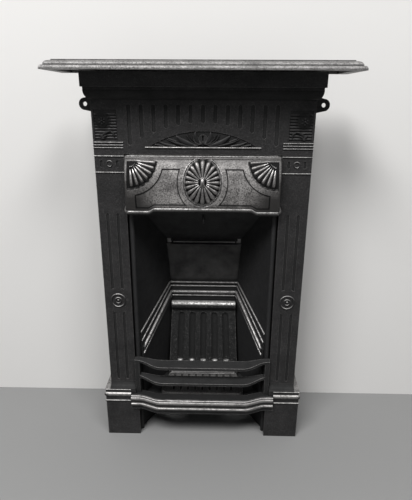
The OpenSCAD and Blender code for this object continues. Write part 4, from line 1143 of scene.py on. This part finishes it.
def lunette():
    """Leaves that sweep out and curl up at their tips, three beads, and the sill under them."""
    right = join(leaves(LUNETTE_LEAVES, 0, LUNETTE_SILL), "lunette_leaves_right")
    dress_pair(right, "lunette_leaves_left", BLACK_ORNAMENT)
    bead_x, bead_r, bead_z = 0.107, 0.0024, LUNETTE_SILL + 0.0055
    beads = [bead(x, SUNK - 0.001, bead_z, bead_r) for x in (-bead_x, 0, bead_x)]
    dress(join(beads, "lunette_beads"), BLACK_ORNAMENT)
    sill_r, sill_long = 0.0023, 0.2625
    sill = start("cylinder", "lunette_sill", vertices=20, radius=sill_r, depth=sill_long,
                 location=(0, FACE - 0.0001, LUNETTE_SILL - 0.001), rotation=(0, math.pi / 2, 0))
    settle(sill)
    apply(sill, "BEVEL", width=0.0008, segments=2, limit_method="ANGLE")
    dress(sill, RAIL)


# The same for each leaf of the right capital, in millimetres from the foot of the spray
CAPITAL_LEAVES = (
    ((4, 0.5), (-20, 18), 68, 6.4, 5.6), ((-16, 17.4), (-25, 4), 100, 4.4, 5.2),
    ((2, 0), (8, 11), -50, 5.4, 5.4), ((1, 0), (-10, 9), 40, 5.4, 5.4),
)


def capital():
    """Flower on a domed disc, over curled leaves, in each capital."""
    flower_x, flower_z = FLOWER
    petals, petal_long, gap, spray_z = 6, 0.0066, 0.0016, 0.8035
    disc = start("uv_sphere", "capital_disc_right", segments=48, ring_count=16, radius=DISC_R,
                 location=(flower_x, SUNK, flower_z), scale=(1, 0.31, 1))
    settle(disc)
    model = bar("flower_petal", petal_long,
                [(0, 0.0016, 0.0016), (0.5, 0.0046, 0.0024), (0.85, 0.0050, 0.0024),
                 (1.0, 0.0022, 0.0016)])
    places = []
    for i in range(petals):
        turn = 360.0 * i / petals
        a = math.radians(turn)
        x = flower_x + gap * math.sin(a)
        z = flower_z + gap * math.cos(a)
        places.append((x, SUNK - 0.0044, z, turn))
    parts = copies(model, places)
    parts.append(bead(flower_x, SUNK - 0.0056, flower_z, 0.0026))
    parts += leaves(CAPITAL_LEAVES, flower_x, spray_z)
    right = join(parts, "capital_flower_right")
    dress_pair(disc, "capital_disc_left", DISC)
    dress_pair(right, "capital_flower_left", BLACK_ORNAMENT)


# ---------------------------------------------------------------- room and light


def plain(name, colour, rough):
    """An even paint."""
    material = bpy.data.materials.new(name)
    material.use_nodes = True
    shader = material.node_tree.nodes["Principled BSDF"]
    shader.inputs["Base Color"].default_value = (*colour, 1.0)
    shader.inputs["Roughness"].default_value = rough
    return material


def seen_from_front(material):
    """Only the front of a backdrop shows, so that the back of the fireplace can be looked at."""
    tree = material.node_tree
    side = add(tree, "ShaderNodeNewGeometry").outputs["Backfacing"]
    clear = add(tree, "ShaderNodeBsdfTransparent")
    mix = add(tree, "ShaderNodeMixShader")
    tree.links.new(side, mix.inputs[0])
    tree.links.new(tree.nodes["Principled BSDF"].outputs[0], mix.inputs[1])
    tree.links.new(clear.outputs[0], mix.inputs[2])
    tree.links.new(mix.outputs[0], tree.nodes["Material Output"].inputs["Surface"])


def backdrop(name, material, **place):
    """A plane of the room."""
    bpy.ops.mesh.primitive_plane_add(**place)
    plane = bpy.context.object
    plane.name = name
    plane.data.materials.append(material)
    return plane


def room():
    """A pale floor, and a pale wall just behind the firebox that goes a little below the floor."""
    floor_size, wall_size, below = 12.0, 8.0, 0.1
    floor_paint = plain("pale_floor", (0.225, 0.225, 0.223), 0.75)
    wall_paint = plain("pale_wall", (0.70, 0.69, 0.675), 0.9)
    seen_from_front(wall_paint)
    floor = backdrop("floor", floor_paint, size=floor_size, location=(0, 0, 0))
    wall = backdrop("wall", wall_paint, size=wall_size, location=(0, WALL, wall_size / 2 - below),
                    rotation=(math.pi / 2, 0, 0))


def lamp(name, where, target, size, power):
    """A rectangular lamp that faces its target."""
    data = bpy.data.lights.new(name, "AREA")
    data.shape = "RECTANGLE"
    data.size, data.size_y = size
    data.energy = power
    lamp_object = bpy.data.objects.new(name, data)
    bpy.context.scene.collection.objects.link(lamp_object)
    lamp_object.location = where
    aim = Vector(target) - Vector(where)
    lamp_object.rotation_euler = aim.to_track_quat("-Z", "Y").to_euler()


def light():
    """Dim daylight all round, and two lamps over and in front of the fireplace."""
    world = bpy.data.worlds.new("room_light")
    bpy.context.scene.world = world
    world.use_nodes = True
    sky = world.node_tree.nodes["Background"]
    sky.inputs["Color"].default_value = (0.95, 0.97, 1.0, 1.0)
    sky.inputs["Strength"].default_value = 0.14
    middle = (0, -0.1, 0.35)
    lamp("ceiling_left", (-1.3, -2.3, 3.8), middle, (1.8, 1.2), 178.0)
    lamp("ceiling_right", (1.2, -2.0, 3.9), middle, (1.4, 1.0), 82.0)


def camera():
    """The photograph's view, from a little under the shelf's height, tilted down 19 degrees."""
    pan, tilt, roll = 1.088, 71.003, 0.333
    place = (0.02758, FACE - 1.01362, 0.89134)
    data = bpy.data.cameras.new("view")
    data.sensor_width = 36.0
    data.lens = 31.697
    view = bpy.data.objects.new("view", data)
    bpy.context.scene.collection.objects.link(view)
    turn = (
        Matrix.Rotation(math.radians(pan), 4, "Z")
        @ Matrix.Rotation(math.radians(tilt), 4, "X")
        @ Matrix.Rotation(math.radians(roll), 4, "Z")
    )
    view.matrix_world = Matrix.Translation(place) @ turn
    bpy.context.scene.camera = view


bars_and_grate()
rail_moulding()
lining_ridges()
plinth_cove()
plinth_rolls()
cornice_ovolo()
hood_mouldings()
rosette()
fans()
lunette()
capital()
room()
light()
camera()
bpy.context.scene.view_settings.view_transform = "Standard"
